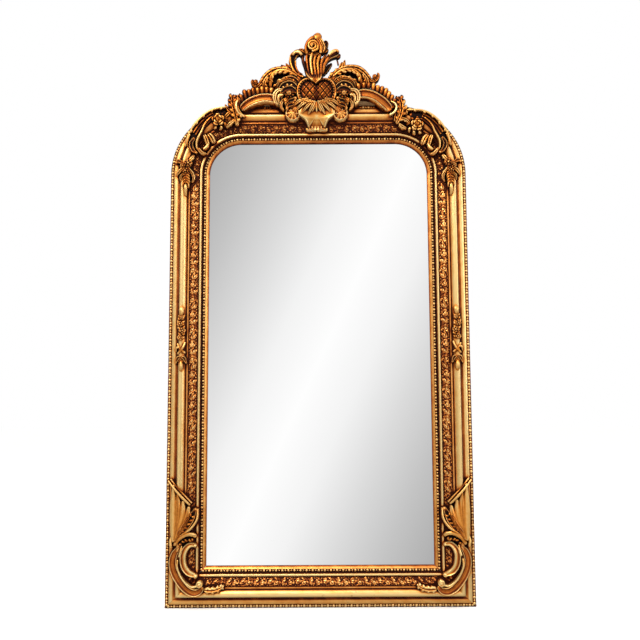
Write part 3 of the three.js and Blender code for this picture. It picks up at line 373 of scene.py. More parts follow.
# ---------------------------------------------------------------- mouldings


def stretch(knots, step):
    """Points along a polyline, no further apart than the step, with its corners kept."""
    points = [np.array(knots[0], float)]
    for a, b in zip(knots, knots[1:]):
        a, b = np.array(a, float), np.array(b, float)
        count = max(1, math.ceil(np.linalg.norm(b - a) / step))
        points += [a + (b - a) * i / count for i in range(1, count + 1)]
    return points


def arch(start, end, low, high, count, lean=0.0):
    """A rounded moulding in section. lean moves its crown towards the outer side."""
    turn = np.linspace(0, math.pi, count)
    across = (1 - np.cos(turn)) / 2
    across = across - lean * np.sin(turn) * (1 - across) * across
    return [(start + (end - start) * a, low + (high - low) * math.sin(t)) for a, t in zip(across, turn)]


def frame_section():
    """The frame's section from its back round the front and into the rebate, each point a place u and a
    depth."""
    back = stretch([(108, 0), (0, 0), (0, 34)], 12.0)
    front = [
        (0.6, 35.2), (1.5, 35.6), (3, 35), (11, 35), (12.3, 35.6), (13.2, 40.5), (14.2, 42.6), (16, 43.4),
        (21, 44.2), (26, 44.3), (27.6, 43.6), (28.2, 43.4), (28.8, 42.8), (31, 42.4), (33.5, 42.7),
        (34.6, 43.6), (36, 44.2), (37.2, 44.8), (37.8, 46.5), (38.1, 48.6),
        *arch(38.3, 63.4, 48, 62, 17, lean=0.9)[1:-1],
        (63.4, 50), (64, 48.8), (66, 48.6), (67.2, 49.8), (69.5, 50.2), (71.6, 49.4), (72.6, 47.4),
    ]
    frieze_u = np.linspace(FRIEZE_START, FRIEZE_END, 24)
    share = (frieze_u - FRIEZE_START) / FRIEZE_WIDE
    frieze = zip(frieze_u, FRIEZE_BED - FRIEZE_FALL * share**FRIEZE_CURVE)
    inner = [
        (105.6, 36.2), (106, 39), (107, 40.6), (109, 41.2), (111.5, 41), (113, 39.8), (113.8, 37),
        (114.2, 31), (115, 29.4), (117.4, 29), (118, 28.2), (118, 20), (108, 20),
    ]
    return np.array([*back, *front, *frieze, *inner], float)


def slip_section():
    """The sight slip's section: the pearls' bed, a ridge and a bevel down to the glass."""
    return np.array(
        [
            (118.3, 20.3), (118.3, 27), (119, 27.8), (120, 27.4), (127, 27.4), (127.8, 28.4), (128.8, 29),
            (130.2, 28.6), (131.5, 27.4), (134, 26.2), (137, 24.8), (138.8, 24.2), (139.5, 23.4),
            (139.6, 20.3),
        ],
        float,
    )


Run = namedtuple("Run", "name point length start")


def runs():
    """The six lengths of the frame's line. point turns a distance along the length, from 0 to 1, and a
    place u inwards from the outer edge into x and z."""
    quarter = math.pi / 2
    for side, word in SIDES:
        top = SHOULDER_Z - CLEARANCE

        def stile(t, u, side=side, top=top):
            return side * (HALF_WIDTH - u) + 0 * t, u + t * (top - u)

        def shoulder(t, u, side=side):
            reach = SHOULDER_RADIUS - u
            return side * (SHOULDER_X + reach * np.cos(t * quarter)), SHOULDER_Z + reach * np.sin(
                t * quarter,
            )

        yield Run(word, stile, SHOULDER_Z, 0.0)
        yield Run(f"{word}_shoulder", shoulder, SHOULDER_RADIUS * quarter, SHOULDER_Z)

    def bottom(t, u):
        reach = HALF_WIDTH - u - 3 * CLEARANCE
        return (2 * t - 1) * reach, u + 0 * t

    def top_rail(t, u):
        return (2 * t - 1) * (SHOULDER_X - CLEARANCE), FRAME_HEIGHT - u + 0 * t

    yield Run("bottom", bottom, 2 * HALF_WIDTH, 0.0)
    yield Run("top", top_rail, 2 * SHOULDER_X, 0.0)


STEM_MIDDLE, STEM_SWAY = 16, 6.5
SHOOTS, SMALL_LEAVES, BERRIES = 4, 78, 40
STROKE_SPREAD = 1.3


def frieze_tile():
    """Heights over one repeat of the frieze at 1 mm, from 0 to 1: a waving stem with curled shoots,
    crowded with small leaves and berries."""
    length, width = FRIEZE_REPEAT, FRIEZE_WIDE
    chance = np.random.default_rng(73)
    strokes = []
    for t in np.linspace(0, 1, 230, endpoint=False):
        strokes.append((t * length, STEM_MIDDLE + STEM_SWAY * math.sin(4 * math.pi * t), 1.5, 0.62))
    for i in range(SHOOTS):
        x, hand = (i + 0.5) * length / SHOOTS, (1, -1)[i % 2]
        u = STEM_MIDDLE - 3.5 * hand
        for t in np.linspace(0, 1, 80):
            turn = 2.0 + i * math.pi + hand * t * 2.4 * math.pi
            reach = 8.5 * (1 - 0.75 * t)
            strokes.append((x + reach * math.cos(turn), u + reach * math.sin(turn), 1.6, 0.75 + 0.25 * t))
        strokes.append((x, u, 2.2, 1.0))
    for _ in range(SMALL_LEAVES):
        x, u = chance.uniform(0, length), chance.uniform(2.5, width - 2.5)
        lean = chance.uniform(0, math.pi)
        long, high = chance.uniform(3.0, 6.0), chance.uniform(0.55, 1.0)
        for t in np.linspace(-0.5, 0.5, 9):
            size = 1.75 * (1 - 2.4 * t * t)
            strokes.append((x + t * long * math.cos(lean), u + t * long * math.sin(lean), size, high))
    for _ in range(BERRIES):
        x, u = chance.uniform(0, length), chance.uniform(2, width - 2)
        strokes.append((x, u, 1.5, chance.uniform(0.7, 1)))
    s, u = np.meshgrid(np.arange(length), np.arange(width + 1), indexing="ij")
    tile = np.zeros(s.shape)
    for x, v, size, high in strokes:
        along = np.abs(s - x) % length
        along = np.minimum(along, length - along)
        gap2 = (along**2 + (u - v) ** 2) / (size * STROKE_SPREAD) ** 2
        tile = np.maximum(tile, high * np.sqrt(np.clip(1 - gap2, 0, 1)))
    return tile


TILE = frieze_tile()


def frieze_rise(s, u):
    """The carving's height, from 0 to 1, at distance s along the frame and u inwards."""
    s = np.mod(s, FRIEZE_REPEAT)
    v = np.clip(u - FRIEZE_START, 0, FRIEZE_WIDE)
    s0 = np.floor(s).astype(int)
    v0 = np.minimum(np.floor(v).astype(int), FRIEZE_WIDE - 1)
    fs, fv = s - s0, v - v0
    s1 = (s0 + 1) % FRIEZE_REPEAT
    s0 = s0 % FRIEZE_REPEAT
    low = TILE[s0, v0] * (1 - fs) + TILE[s1, v0] * fs
    high = TILE[s0, v0 + 1] * (1 - fs) + TILE[s1, v0 + 1] * fs
    return low * (1 - fv) + high * fv


# The toning across the frame: place u inwards from the outer edge, and tone. It holds painted shade, partly
# patina, in the recesses and grooves, and a painted highlight along the flat band and the torus's crown.
FRAME_TONE = [
    (0, -0.1), (1, -0.16), (4, -0.06), (12.6, -0.3), (13.6, 0.08), (15, 0.2), (20, 0.24), (27, 0.18),
    (28.2, 0.0),
    (29, -0.04), (33, 0.02), (34.6, 0.16), (36.5, 0.12), (37.8, -0.12), (39.4, 0.12), (42, 0.22),
    (50, 0.24),
    (53, 0.1), (56, 0.16), (60, 0.1), (63, -0.2), (65.5, -0.3), (67.4, 0.0), (70, 0.06), (72, -0.2),
    (73, -0.42), (104.8, -0.42), (106, 0.0), (108, 0.26), (111.5, 0.26), (113.2, 0.0), (114.5, -0.3),
    (118.2, -0.4), (118.6, -0.1), (119.5, -0.25), (127, -0.28), (128.6, 0.1), (131, 0.16), (136, 0.08),
    (139, 0.0), (139.7, -0.3),
]
# Painted shade by run: the top rail, facing down under the crest, is darkest and the stiles lightest. The
# bottom rail's outer edge is darker too.
RUN_TONE = {
    "top": -0.15, "bottom": 0.0, "left_shoulder": -0.06, "right_shoulder": -0.06, "left": 0.05,
    "right": 0.05,
}
BOTTOM_EDGE_TONE = -0.16


# Depths beyond this are on the front, where the surface is gilded and uneven.
FRONT_DEPTH = 25
FEWEST_SECTIONS = 24
# The lengths of the front's unevenness, how far it slants, and what it adds to depth, tone and wear.
UNEVEN_LENGTHS = (9.0, 23.0, 47.0, 110.0)
UNEVEN_SLANT, UNEVEN_DEPTH, UNEVEN_TONE, UNEVEN_WEAR = 0.11, 0.07, 0.02, 0.03
BACK_TONE = -0.1
# The frieze keeps clear of its borders, and is dark in its hollows, as patina and painted shade, and bright
# on its leaves, as a painted highlight.
FRIEZE_MARGIN = 0.5
FRIEZE_DARK, FRIEZE_BRIGHT, FRIEZE_CONTRAST = -0.42, 0.86, 2.6


def moulding(run, section, step, carved):
    """A length of moulding with slightly uneven, hand-laid surfaces."""
    count = max(FEWEST_SECTIONS, round(run.length / step))
    t = np.linspace(0, 1, count + 1)[:, None]
    u = section[:, 0][None, :]
    depth = np.repeat(section[:, 1][None, :], count + 1, axis=0)
    x, z = run.point(t, u)
    s = run.start + t * run.length
    front = section[:, 1] > FRONT_DEPTH
    phases = rng.uniform(0, 2 * math.pi, len(UNEVEN_LENGTHS))
    uneven = sum(np.sin(s / wave + p + UNEVEN_SLANT * u) for wave, p in zip(UNEVEN_LENGTHS, phases))
    depth = depth + UNEVEN_DEPTH * uneven * front
    # The tone across the section and by run is painted shade and painted highlight, with random unevenness.
    tone = np.repeat(np.interp(section[:, 0], *zip(*FRAME_TONE))[None, :], count + 1, axis=0)
    tone = np.where(front, tone, BACK_TONE) + UNEVEN_TONE * uneven + RUN_TONE[run.name]
    if run.name == "bottom":
        tone = tone + BOTTOM_EDGE_TONE * np.clip((40 - u) / 12, 0, 1)
    if carved:
        on_frieze = front & (u > FRIEZE_START + FRIEZE_MARGIN) & (u < FRIEZE_END - FRIEZE_MARGIN)
        rise = frieze_rise(s + 0 * u, u + 0 * s)
        depth = depth + np.where(on_frieze, FRIEZE_RISE * rise, 0.0)
        # The run's painted shade, with the random unevenness as wear.
        shade_and_wear = RUN_TONE[run.name] + UNEVEN_WEAR * uneven
        tone = np.where(on_frieze, FRIEZE_DARK + FRIEZE_BRIGHT * rise**FRIEZE_CONTRAST + shade_and_wear, tone)
    x, z = np.broadcast_arrays(x, z)
    return loft(np.stack([x, BACK_Y - depth, z], axis=-1), tone)


PEARL_SIDES, PEARL_RINGS = 12, 8
PEARL_WEAR = 0.04


def pearl(x, z, bed, size, stand):
    """A turned pearl sunk a little into its bed."""
    turn = np.linspace(0, 2 * math.pi, PEARL_SIDES, endpoint=False)
    rows, tone = [], []
    for tilt in np.linspace(0.06, 0.94, PEARL_RINGS) * math.pi:
        reach, rise = size * math.sin(tilt), stand * math.cos(tilt)
        depth = BACK_Y - bed - rise + 0 * turn
        rows.append(np.stack([x + reach * np.cos(turn), depth, z + reach * np.sin(turn)], axis=-1))
        # Painted highlight on the pearl's crown and painted shade towards its foot.
        tone.append(np.full(PEARL_SIDES, 0.4 * math.cos(tilt) - 0.08))
    return loft(np.stack(rows), np.stack(tone))


def pearls(run, u, pitch, bed, sizes):
    """A course of pearls: the sizes take turns along the length."""
    t = np.linspace(0, 1, 200)
    x, z = run.point(t, u)
    distance = np.concatenate([[0], np.cumsum(np.hypot(np.diff(x), np.diff(z)))])
    count = max(2, 2 * round(distance[-1] / (2 * pitch)))
    parts = []
    for i in range(count):
        here = (i + 0.5) / count * distance[-1]
        size, stand = sizes[i % len(sizes)]
        wear = 1 + rng.uniform(-PEARL_WEAR, PEARL_WEAR)
        px, pz = np.interp(here, distance, x), np.interp(here, distance, z)
        parts.append(pearl(px, pz, bed, size * wear, stand * wear))
    return parts


# ---------------------------------------------------------------- shaders


def rgb(code):
    """A colour written as six hex digits, as linear red, green, blue and 1."""
    levels = [int(code[i : i + 2], 16) / 255 for i in (0, 2, 4)]
    return [v / 12.92 if v <= 0.04045 else ((v + 0.055) / 1.055) ** 2.4 for v in levels] + [1.0]


class Signal:
    """A shader socket that takes part in Python arithmetic."""

    def __init__(self, nodes, socket):
        self.nodes = nodes
        self.socket = socket

    def math(self, operation, *values):
        return self.nodes.add("Math", {"operation": operation}, dict(enumerate(values))).out()

    def __add__(self, other):
        return self.math("ADD", self, other)

    def __sub__(self, other):
        return self.math("SUBTRACT", self, other)

    def __rsub__(self, other):
        return self.math("SUBTRACT", other, self)

    def __mul__(self, other):
        return self.math("MULTIPLY", self, other)

    def __abs__(self):
        return self.math("ABSOLUTE", self)

    __radd__ = __add__
    __rmul__ = __mul__

    def fraction(self):
        """The part after the point."""
        return self.math("FRACT", self)

    def or_more(self, other):
        """The larger of the two values."""
        return self.math("MAXIMUM", self, other)

    def between(self, low, high):
        """0 below low, 1 above high, and smooth in between."""
        sockets = {"Value": self, "From Min": low, "From Max": high}
        return self.nodes.add("MapRange", {"interpolation_type": "SMOOTHSTEP"}, sockets).out()


class Made:
    """A node that has been added, read by the names of its outputs."""

    def __init__(self, nodes, node):
        self.nodes = nodes
        self.node = node

    def out(self, name=0):
        return Signal(self.nodes, self.node.outputs[name])


class Nodes:
    """The nodes of a material or of the world."""

    def __init__(self, owner):
        owner.use_nodes = True
        self.tree = owner.node_tree
        self.tree.nodes.clear()

    def add(self, kind, settings=None, sockets=None):
        """A node of the kind, with its settings first and then the values or links of its sockets."""
        node = self.tree.nodes.new("ShaderNode" + kind)
        for key, value in (settings or {}).items():
            if key == "stops":
                self.set_stops(node.color_ramp, value)
            else:
                setattr(node, key, value)
        for key, value in (sockets or {}).items():
            if isinstance(value, Signal):
                self.tree.links.new(value.socket, node.inputs[key])
            else:
                node.inputs[key].default_value = value
        return Made(self, node)

    @staticmethod
    def set_stops(ramp, stops):
        while len(ramp.elements) < len(stops):
            ramp.elements.new(1.0)
        for element, (place, colour) in zip(ramp.elements, stops):
            element.position = place
            element.color = colour

    def ramp(self, factor, *stops):
        return self.add("ValToRGB", {"stops": stops}, {"Fac": factor}).out("Color")

    def mix(self, factor, a, b):
        """Colour a at factor 0 and colour b at 1."""
        return self.add("Mix", {"data_type": "RGBA"}, {0: factor, 6: a, 7: b}).out(2)

    def place(self):
        return self.add("TexCoord").out("Object")

    def stretched(self, vector, scale):
        settings = {"operation": "MULTIPLY"}
        return self.add("VectorMath", settings, {0: vector, 1: scale}).out()

    def noise(self, vector, scale, detail, rough=0.55):
        sockets = {"Vector": vector, "Scale": scale, "Detail": detail, "Roughness": rough}
        return self.add("TexNoise", None, sockets).out(0)

    def bump(self, height, distance, strength):
        sockets = {"Height": height, "Distance": distance, "Strength": strength}
        return self.add("Bump", None, sockets).out()


def new_material(name):
    material = bpy.data.materials.new(name)
    return material, Nodes(material)


def surface(nodes, **sockets):
    """The principled shader, fed by socket names with spaces for underscores."""
    named = {key.replace("_", " "): value for key, value in sockets.items()}
    shader = nodes.add("BsdfPrincipled", None, named).out()
    nodes.add("OutputMaterial", None, {"Surface": shader})


GILDING_STOPS = (0.12, 0.31, 0.5, 0.68, 0.88)
BOLE = "B0643A"


def gilding(name, dirt_and_shade, shade, body, light, gleam, shine, lift=0.0):
    """Water gilding over red bole, toned with umber and painted shade in the hollows, and rubbed bright
    with a painted highlight on the ridges.
    """
    material, n = new_material(name)
    place = n.place()
    relief = n.add("Attribute", {"attribute_name": "relief"}).out("Fac")
    cloud = n.noise(place, 9.0, 3.0)
    mottle = n.noise(place, 70.0, 4.0, 0.6)
    speck = n.noise(place, 420.0, 2.0)
    tone = relief + lift + (cloud - 0.5) * 0.14 + (mottle - 0.5) * 0.2 + (speck - 0.5) * 0.1
    # The darkest stop stands for dirt and painted shade, the gleam stop for a painted highlight.
    stops = zip(GILDING_STOPS, map(rgb, (dirt_and_shade, shade, body, light, gleam)))
    gold = n.ramp(tone, *stops)
    rubbed = mottle.between(0.57, 0.70) * relief.between(0.42, 0.6) * cloud.between(0.45, 0.66)
    gold = n.mix(rubbed * 0.5, gold, rgb(BOLE))
    # Low tone, umber and painted shade alike, makes the gilding less metallic and rougher.
    grime_and_shade = 1 - tone.between(0.14, 0.44)
    surface(
        n,
        Base_Color=gold,
        Metallic=0.78 - grime_and_shade * 0.5,
        Specular_IOR_Level=0.15,
        Roughness=shine + grime_and_shade * 0.34 + (mottle - 0.5) * 0.16 + rubbed * 0.12,
        Normal=n.bump(mottle * 0.6 + speck * 0.4, 0.0006, 0.55),
    )
    return material


def silvered_glass():
    """Old silvering: a slightly wavy glass with a faint bloom."""
    material, n = new_material("silvered_glass")
    place = n.place()
    ripple = n.noise(place, 3.0, 1.0)
    bloom = n.noise(place, 26.0, 5.0, 0.7).between(0.66, 0.82)
    surface(
        n,
        Base_Color=n.mix(bloom * 0.05, rgb("FEFEFE"), rgb("D0CDC5")),
        Metallic=1.0,
        Roughness=0.012 + bloom * 0.02,
        Normal=n.bump(ripple, 0.0002, 0.12),
    )
    return material


RINGS_ACROSS, RINGS_ALONG = 34.0, 1.6
GRAIN_LINES, PORES_TO_RINGS = 9.0, 9


def pine(name, along):
    """Old pine with its grain along the given axis: 0 is X, 2 is Z."""
    material, n = new_material(name)
    scale = [RINGS_ACROSS] * 3
    scale[along] = RINGS_ALONG
    grain_place = n.stretched(n.place(), scale)
    rings = n.noise(grain_place, 1.0, 3.0, 0.6)
    lines = abs((rings * GRAIN_LINES).fraction() - 0.5) * 2.0
    pores = n.noise(n.stretched(n.place(), [v * PORES_TO_RINGS for v in scale]), 1.0, 2.0)
    age = n.noise(n.place(), 5.0, 4.0)
    wood = n.ramp(
        lines * 0.75 + pores * 0.35, (0.1, rgb("7A5733")), (0.55, rgb("A98358")), (1.0, rgb("BF9C6E")),
    )
    wood = n.mix(age.between(0.48, 0.72) * 0.5, wood, rgb("6B4F33"))
    surface(
        n, Base_Color=wood, Roughness=0.72 + pores * 0.2, Normal=n.bump(lines * 0.5 + pores, 0.0004, 0.5),
    )
    return material


def zinc_steel():
    """Zinc-plated steel with its spangle, and rust where the plating has gone."""
    material, n = new_material("zinc_steel")
    drawn = n.noise(n.stretched(n.place(), (160.0, 160.0, 900.0)), 1.0, 3.0)
    spangle = n.noise(n.place(), 120.0, 4.0, 0.7)
    rust = spangle.between(0.62, 0.74)
    zinc = n.mix(spangle, rgb("8C8D8E"), rgb("B4B5B3"))
    surface(
        n,
        Base_Color=n.mix(rust * 0.5, zinc, rgb("6B4630")),
        Metallic=0.95 - rust * 0.4,
        Roughness=0.34 + drawn * 0.2 + rust * 0.25,
        Normal=n.bump(drawn, 0.0002, 0.4),
    )
    return material


def felt():
    """Dark grey felt of the wall pads."""
    material, n = new_material("felt")
    fibre = n.noise(n.place(), 900.0, 4.0, 0.8)
    tuft = n.noise(n.place(), 180.0, 3.0)
    surface(
        n,
        Base_Color=n.mix(fibre * 0.6 + tuft * 0.4, rgb("25241F"), rgb("57544B")),
        Roughness=0.95,
        Sheen_Weight=0.3,
        Normal=n.bump(fibre, 0.0006, 0.7),
    )
    return material


# The carved gilding is a darker copy, partly patina and partly painted shade for the depth of the carving.
GILT = gilding("frame_gilt", "3A1204", "98491B", "E88E40", "FFBE68", "FFD992", lift=0.035, shine=0.37)
CARVED = gilding("carved_gilt", "180501", "562008", "B46020", "F29E42", "FFD486", lift=-0.18, shine=0.38)
BRIGHT = gilding("bright_gilt", "381104", "904215", "E28636", "FFBE64", "FFDC94", shine=0.36)
SLIP = gilding("old_gilt", "2E0E05", "984A1E", "E48B40", "FBB860", "FFD68A", lift=0.03, shine=0.4)
PINE_UP, PINE_ALONG = pine("pine_upright", 2), pine("pine_level", 0)
STEEL = zinc_steel()
FELT = felt()
MIRROR = silvered_glass()


def finish_node(node, material):
    """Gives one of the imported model's own nodes a finish."""
    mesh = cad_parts[node].data
    mesh.materials.clear()
    mesh.materials.append(material)


finish_node("mirror_glass", MIRROR)
for board in ("lower_backing_board", "upper_backing_board"):
    finish_node(board, PINE_UP)
for board in ("crest_board", "crest_cleat"):
    finish_node(board, PINE_ALONG)


SCREW_RADIUS, SCREW_SIDES = 4.0, 20
# A screw head from its foot over its dome and down into the driver's hollow: shares of the radius, heights.
SCREW_HEAD = ((1, -0.2), (1, 0.5), (0.82, 1.1), (0.5, 1.4), (0.42, 1.4), (0.38, 0.5), (0.2, 0.4))


def screws(plate, count):
    """Round screw heads in a row along the back of a plate, each with a hollow for the driver."""
    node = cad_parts[plate]
    corners = np.array([node.matrix_world @ Vector(corner) for corner in node.bound_box]) / MM
    low, high = corners.min(axis=0), corners.max(axis=0)
    middle, size = (low + high) / 2, high - low
    radius = min(SCREW_RADIUS, 0.3 * min(size[0], size[2]))
    turn = np.linspace(0, 2 * math.pi, SCREW_SIDES + 1)[:-1]
    longest = 0 if size[0] > size[2] else 2
    heads = []
    for share in (np.arange(count) + 0.5) / count - 0.5:
        head = middle.copy()
        head[longest] += share * size[longest]
        rings = []
        for reach, up in SCREW_HEAD:
            x, z = head[0] + radius * reach * np.cos(turn), head[2] + radius * reach * np.sin(turn)
            rings.append(np.column_stack([x, np.full(SCREW_SIDES, high[1] + up), z]))
        heads.append(loft(np.array(rings)))
    return heads


SCREWS = {"crest_{}_strap": 4, "{}_corner_plate": 2, "{}_hanger_strap": 2}
for _, word in SIDES:
    for plate, count in SCREWS.items():
        plate = plate.format(word)
        finish_node(plate, STEEL)
        piece(f"{plate}_screws", screws(plate, count), STEEL, sharp=MOULDING_EDGE)
    for pad in (f"{word}_lower_pad", f"{word}_upper_pad"):
        finish_node(pad, FELT)
    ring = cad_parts[f"{word}_hanger_ring"]
    ring.data.shade_smooth()
    rounding = ring.modifiers.new("rounding", "SUBSURF")
    rounding.levels = rounding.render_levels = 2

# ---------------------------------------------------------------- frame, slip and their pearls

for run in runs():
    front = moulding(run, frame_section(), FRAME_STEP, True)
    node = f"{run.name}_frame"
    piece(f"{run.name}_moulding", [front], GILT, [node], sharp=MOULDING_EDGE)
    outer = pearls(run, PEARL_U, PEARL_PITCH, PEARL_BED, PEARL_SIZES)
    piece(f"{run.name}_pearls", outer, GILT)
    slip = moulding(run, slip_section(), SLIP_STEP, False)
    node = f"{run.name}_slip"
    piece(f"{run.name}_sight_slip", [slip], SLIP, [node], sharp=MOULDING_EDGE)
    inner = pearls(run, BEAD_U, BEAD_PITCH, BEAD_BED, BEAD_SIZES)
    piece(f"{run.name}_beads", inner, SLIP)

# ---------------------------------------------------------------- crest: heart, apron and wings


def bilobed(angle):
    """The heart's outline by angle: two round lobes side by side, with shallow notches between."""
    flat = np.arctan2(np.sin(angle) / HEART_TALL, np.cos(angle))
    side, up = np.abs(np.cos(flat)), np.abs(np.sin(flat))
    far = LOBE_SPACING * side + np.sqrt(np.maximum(LOBE_RADIUS**2 - (LOBE_SPACING * up) ** 2, 0))
    notch = np.where(np.sin(angle) > 0, 14.0, 24.0)
    taller = np.hypot(np.cos(flat), HEART_TALL * np.sin(flat))
    return (far + notch * np.exp(-((np.cos(flat) / 0.42) ** 2))) * taller


QUILT_PITCH, QUILT_SLANT, QUILT_REACH = 25.0, 0.8, 0.87


def heart_height(share, angle, dx, dz):
    """A quilted swelling with a crease down its middle, inside a roped rim."""
    rim = math.exp(-(((share - 0.94) / 0.045) ** 2))
    rope = 0.7 + 0.3 * np.cos(40 * angle + 9 * share)
    swell = 44 * (1 - 0.36 * share**2) if share < 0.875 else 31.0
    rising = np.abs(np.sin(math.pi * (dx + QUILT_SLANT * dz) / QUILT_PITCH))
    falling = np.abs(np.sin(math.pi * (dx - QUILT_SLANT * dz) / QUILT_PITCH))
    lattice = np.minimum(rising, falling)
    quilt = 3.2 * np.exp(-((lattice / 0.22) ** 2)) * (share < QUILT_REACH)
    dimple = 1.6 * (1 - lattice) * (share < QUILT_REACH)
    crease = 5.0 * np.exp(-((dx / 9.0) ** 2)) * share
    edge = 20 * max(0.0, share - 0.975) / 0.025
    return swell - quilt - dimple - crease + rim * rope * 12.0 - edge


heart = cushion(CREST_ON_RAIL, HEART_X, HEART_Z, bilobed, heart_height, rings=52, sides=170, lift=-0.08)
rim_stops = []
for degrees in np.linspace(-262, 82, 40):
    angle = math.radians(degrees)
    reach = float(bilobed(np.array([angle]))[0]) + 1.0
    rim_stops.append((*polar(HEART_X, HEART_Z, reach, angle), 3.6, 35))
heart_rim = strip(CREST_ON_RAIL, rim_stops, spacing=1.8, drop=1.4, most_drop=16, lift=-0.06)
piece("heart_cabochon", [heart, heart_rim], CARVED, ["crest_heart"])

APRON_OUTLINE = [
    (0, -6), (-36, -12), (-60, -28), (-66, -43), (-56, -52), (-45, -58), (-36, -67), (-30, -79), (-26, -89),
    (-31, -97), (-16, -103), (0, -101), (16, -103), (31, -97), (26, -89), (30, -79), (36, -67), (45, -58),
    (56, -52), (66, -43), (60, -28), (36, -12),
]


def outline_by_angle(corners, x, z):
    """A smooth outline as a radius by angle about a middle."""
    line, _ = smooth_line([*corners, corners[0], corners[1]], 1.0)
    angle = np.arctan2(line[:, 1] - z, line[:, 0] - x)
    reach = np.hypot(line[:, 0] - x, line[:, 1] - z)
    order = np.argsort(angle)
    return lambda a: np.interp(a, angle[order], reach[order], period=2 * math.pi)


def apron_height(share, angle, dx, dz):
    """A dished shield that thins downwards to a fluted tail."""
    z = dz - 50.0
    body = np.interp(z, [-103, -92, -84, -72, -60, -40, -10], [-3, -3, 3, 12, 19, 24, 25])
    dish = 6.0 * (1 - share**2)
    tail = 3.2 * np.abs(np.sin(dx * 0.29)) * np.interp(z, [-100, -90, -84], [1, 1, 0])
    return body - dish + tail - 7 * max(0.0, share - 0.94) / 0.06


def shell(place, x, z, size, rise, ribs, lean, spread=math.pi, rim=5.0):
    """A scallop: ribs that fan out to a rolled rim on the side that lean points to."""

    def radius(angle):
        away = np.abs((angle - lean + math.pi) % (2 * math.pi) - math.pi)
        frill = 0.05 * np.abs(np.sin(ribs * (angle - lean)))
        return size * np.where(away < spread / 2 + 0.6, 1 + frill, 0.82)

    def height(share, angle, dx, dz):
        rib = np.abs(np.cos(ribs * (angle - lean))) ** 0.8
        rolled = math.exp(-(((share - 0.87) / 0.09) ** 2))
        return rise - 10 * share**2 - (1 - rib) * 5.0 * share + rolled * rim

    return cushion(place, x, z, radius, height, rings=20, sides=96)


def leaf(place, points, half, rise, section=ROUND, tuck=8, **details):
    """A leaf along the points: narrow where it springs, full at the middle, and bent down at its tip."""
    last = len(points) - 1
    stops = []
    for i, (x, z) in enumerate(points):
        t = i / last
        full = 0.55 + 0.45 * math.sin(math.pi * min(1.0, t * 1.15)) if t < 1 else 0.3
        stops.append((x, z, half * full, rise - tuck * t**2))
    return strip(place, stops, section, **details)


apron = [
    cushion(
        CREST_ON_RAIL, 0, -50, outline_by_angle(APRON_OUTLINE, 0, -50), apron_height,
        rings=26, sides=130, lift=0.12,
    ),
    leaf(CREST_ON_RAIL, [(0, -6), (-1, -22), (0, -42)], 4.0, 36, spacing=1.5, lift=-0.1),
    leaf(CREST_ON_RAIL, [(-4, -8), (-8, -24), (-16, -40)], 3.4, 35, spacing=1.5, lift=-0.05),
    leaf(CREST_ON_RAIL, [(4, -8), (8, -24), (16, -40)], 3.4, 35, spacing=1.5, lift=-0.05),
]
for side, _ in SIDES:
    place = CREST_ON_RAIL._replace(mirror=side)
    for points, lift in (
        ([(5, -4), (16, -24), (31, -49)], -0.1), ([(11, -3), (33, -21), (55, -46)], -0.18),
        ([(19, -2), (50, -13), (79, -38)], -0.12), ([(28, 4), (62, -3), (93, -25)], -0.2),
    ):
        apron.append(leaf(place, points, 6.6, 40, TWO_RIDGES, spacing=1.4, tuck=18, lift=lift))
    apron.append(shell(place, 86, -42, 27, 20, 4.5, -1.4, spread=3.6, rim=6.0))
    apron.append(shell(place, 74, -26, 22, 24, 4.5, -1.0))
    edge = [
        (62, -34, 2.6, 24), (63, -46, 3, 23), (52, -54, 3, 20), (41, -62, 3, 17), (33, -76, 3, 12),
        (28, -90, 2.6, 3),
    ]
    apron.append(strip(place, edge, spacing=1.5, lift=0.05))
    hook = [(10, -92, 4, 1), (22, -99, 4.6, 1), (34, -98, 4, 0), (38, -91, 2.6, -2)]
    apron.append(strip(place, hook, TWO_RIDGES, lift=-0.12))
piece("apron_shield", apron, BRIGHT, ["crest_apron"])


# The share of a frond's line at which its leaflets start and end, and how they differ in size and tone.
FROND_START, FROND_END = 0.05, 0.95
FROND_SIZES, FROND_TONES = (0.85, 1.15), (-0.08, 0.1)


def frond(place, stops, pitch, length, half, sides=(1, -1), lean=0.9, lift=-0.06):
    """Leaflets that spring from the line through the stops and bend along it, as acanthus is cut."""
    line, _ = smooth_line(stops, 1.0)
    heading = np.unwrap(np.arctan2(*np.gradient(line[:, :2], axis=0).T[::-1]))
    count = max(2, round((FROND_END - FROND_START) * (len(line) - 1) / pitch))
    parts = []
    for side in sides:
        for i in range(count):
            t = FROND_START + (FROND_END - FROND_START) * (i + 0.5) / count
            k = int(t * (len(line) - 1))
            x, z, width, rise = line[k]
            size = length * (0.7 + 0.3 * math.sin(math.pi * t)) * rng.uniform(*FROND_SIZES)
            away = heading[k] + side * lean * rng.uniform(*FROND_SIZES)
            bent = away - side * 0.7
            x = x - side * 0.3 * width * math.sin(heading[k])
            z = z + side * 0.3 * width * math.cos(heading[k])
            knee = polar(x, z, 0.55 * size, away)
            tip = polar(*knee, 0.5 * size, bent)
            foot = (x, z, half * 0.7, rise + 1)
            points = [foot, (*knee, half, rise), (*tip, half * 0.3, rise - 1.5 * half)]
            parts.append(strip(place, points, spacing=1.3, lift=lift + rng.uniform(*FROND_TONES)))
    return parts


def blossom(place, x, z, size, rise, petals, turn=0.3, lift=-0.08):
    """A small open flower."""
    parts = []
    for i in range(petals):
        angle = turn + i * 2 * math.pi / petals
        stops = [
            (*polar(x, z, reach * size, angle), half * size, rise + up)
            for reach, half, up in ((0.2, 0.2, -1), (0.62, 0.42, 2), (1.0, 0.26, -3))
        ]
        parts.append(strip(place, stops, SPOON, spacing=1.2, lift=lift))
    return [*parts, button(place, x, z, size * 0.26, rise + 4)]


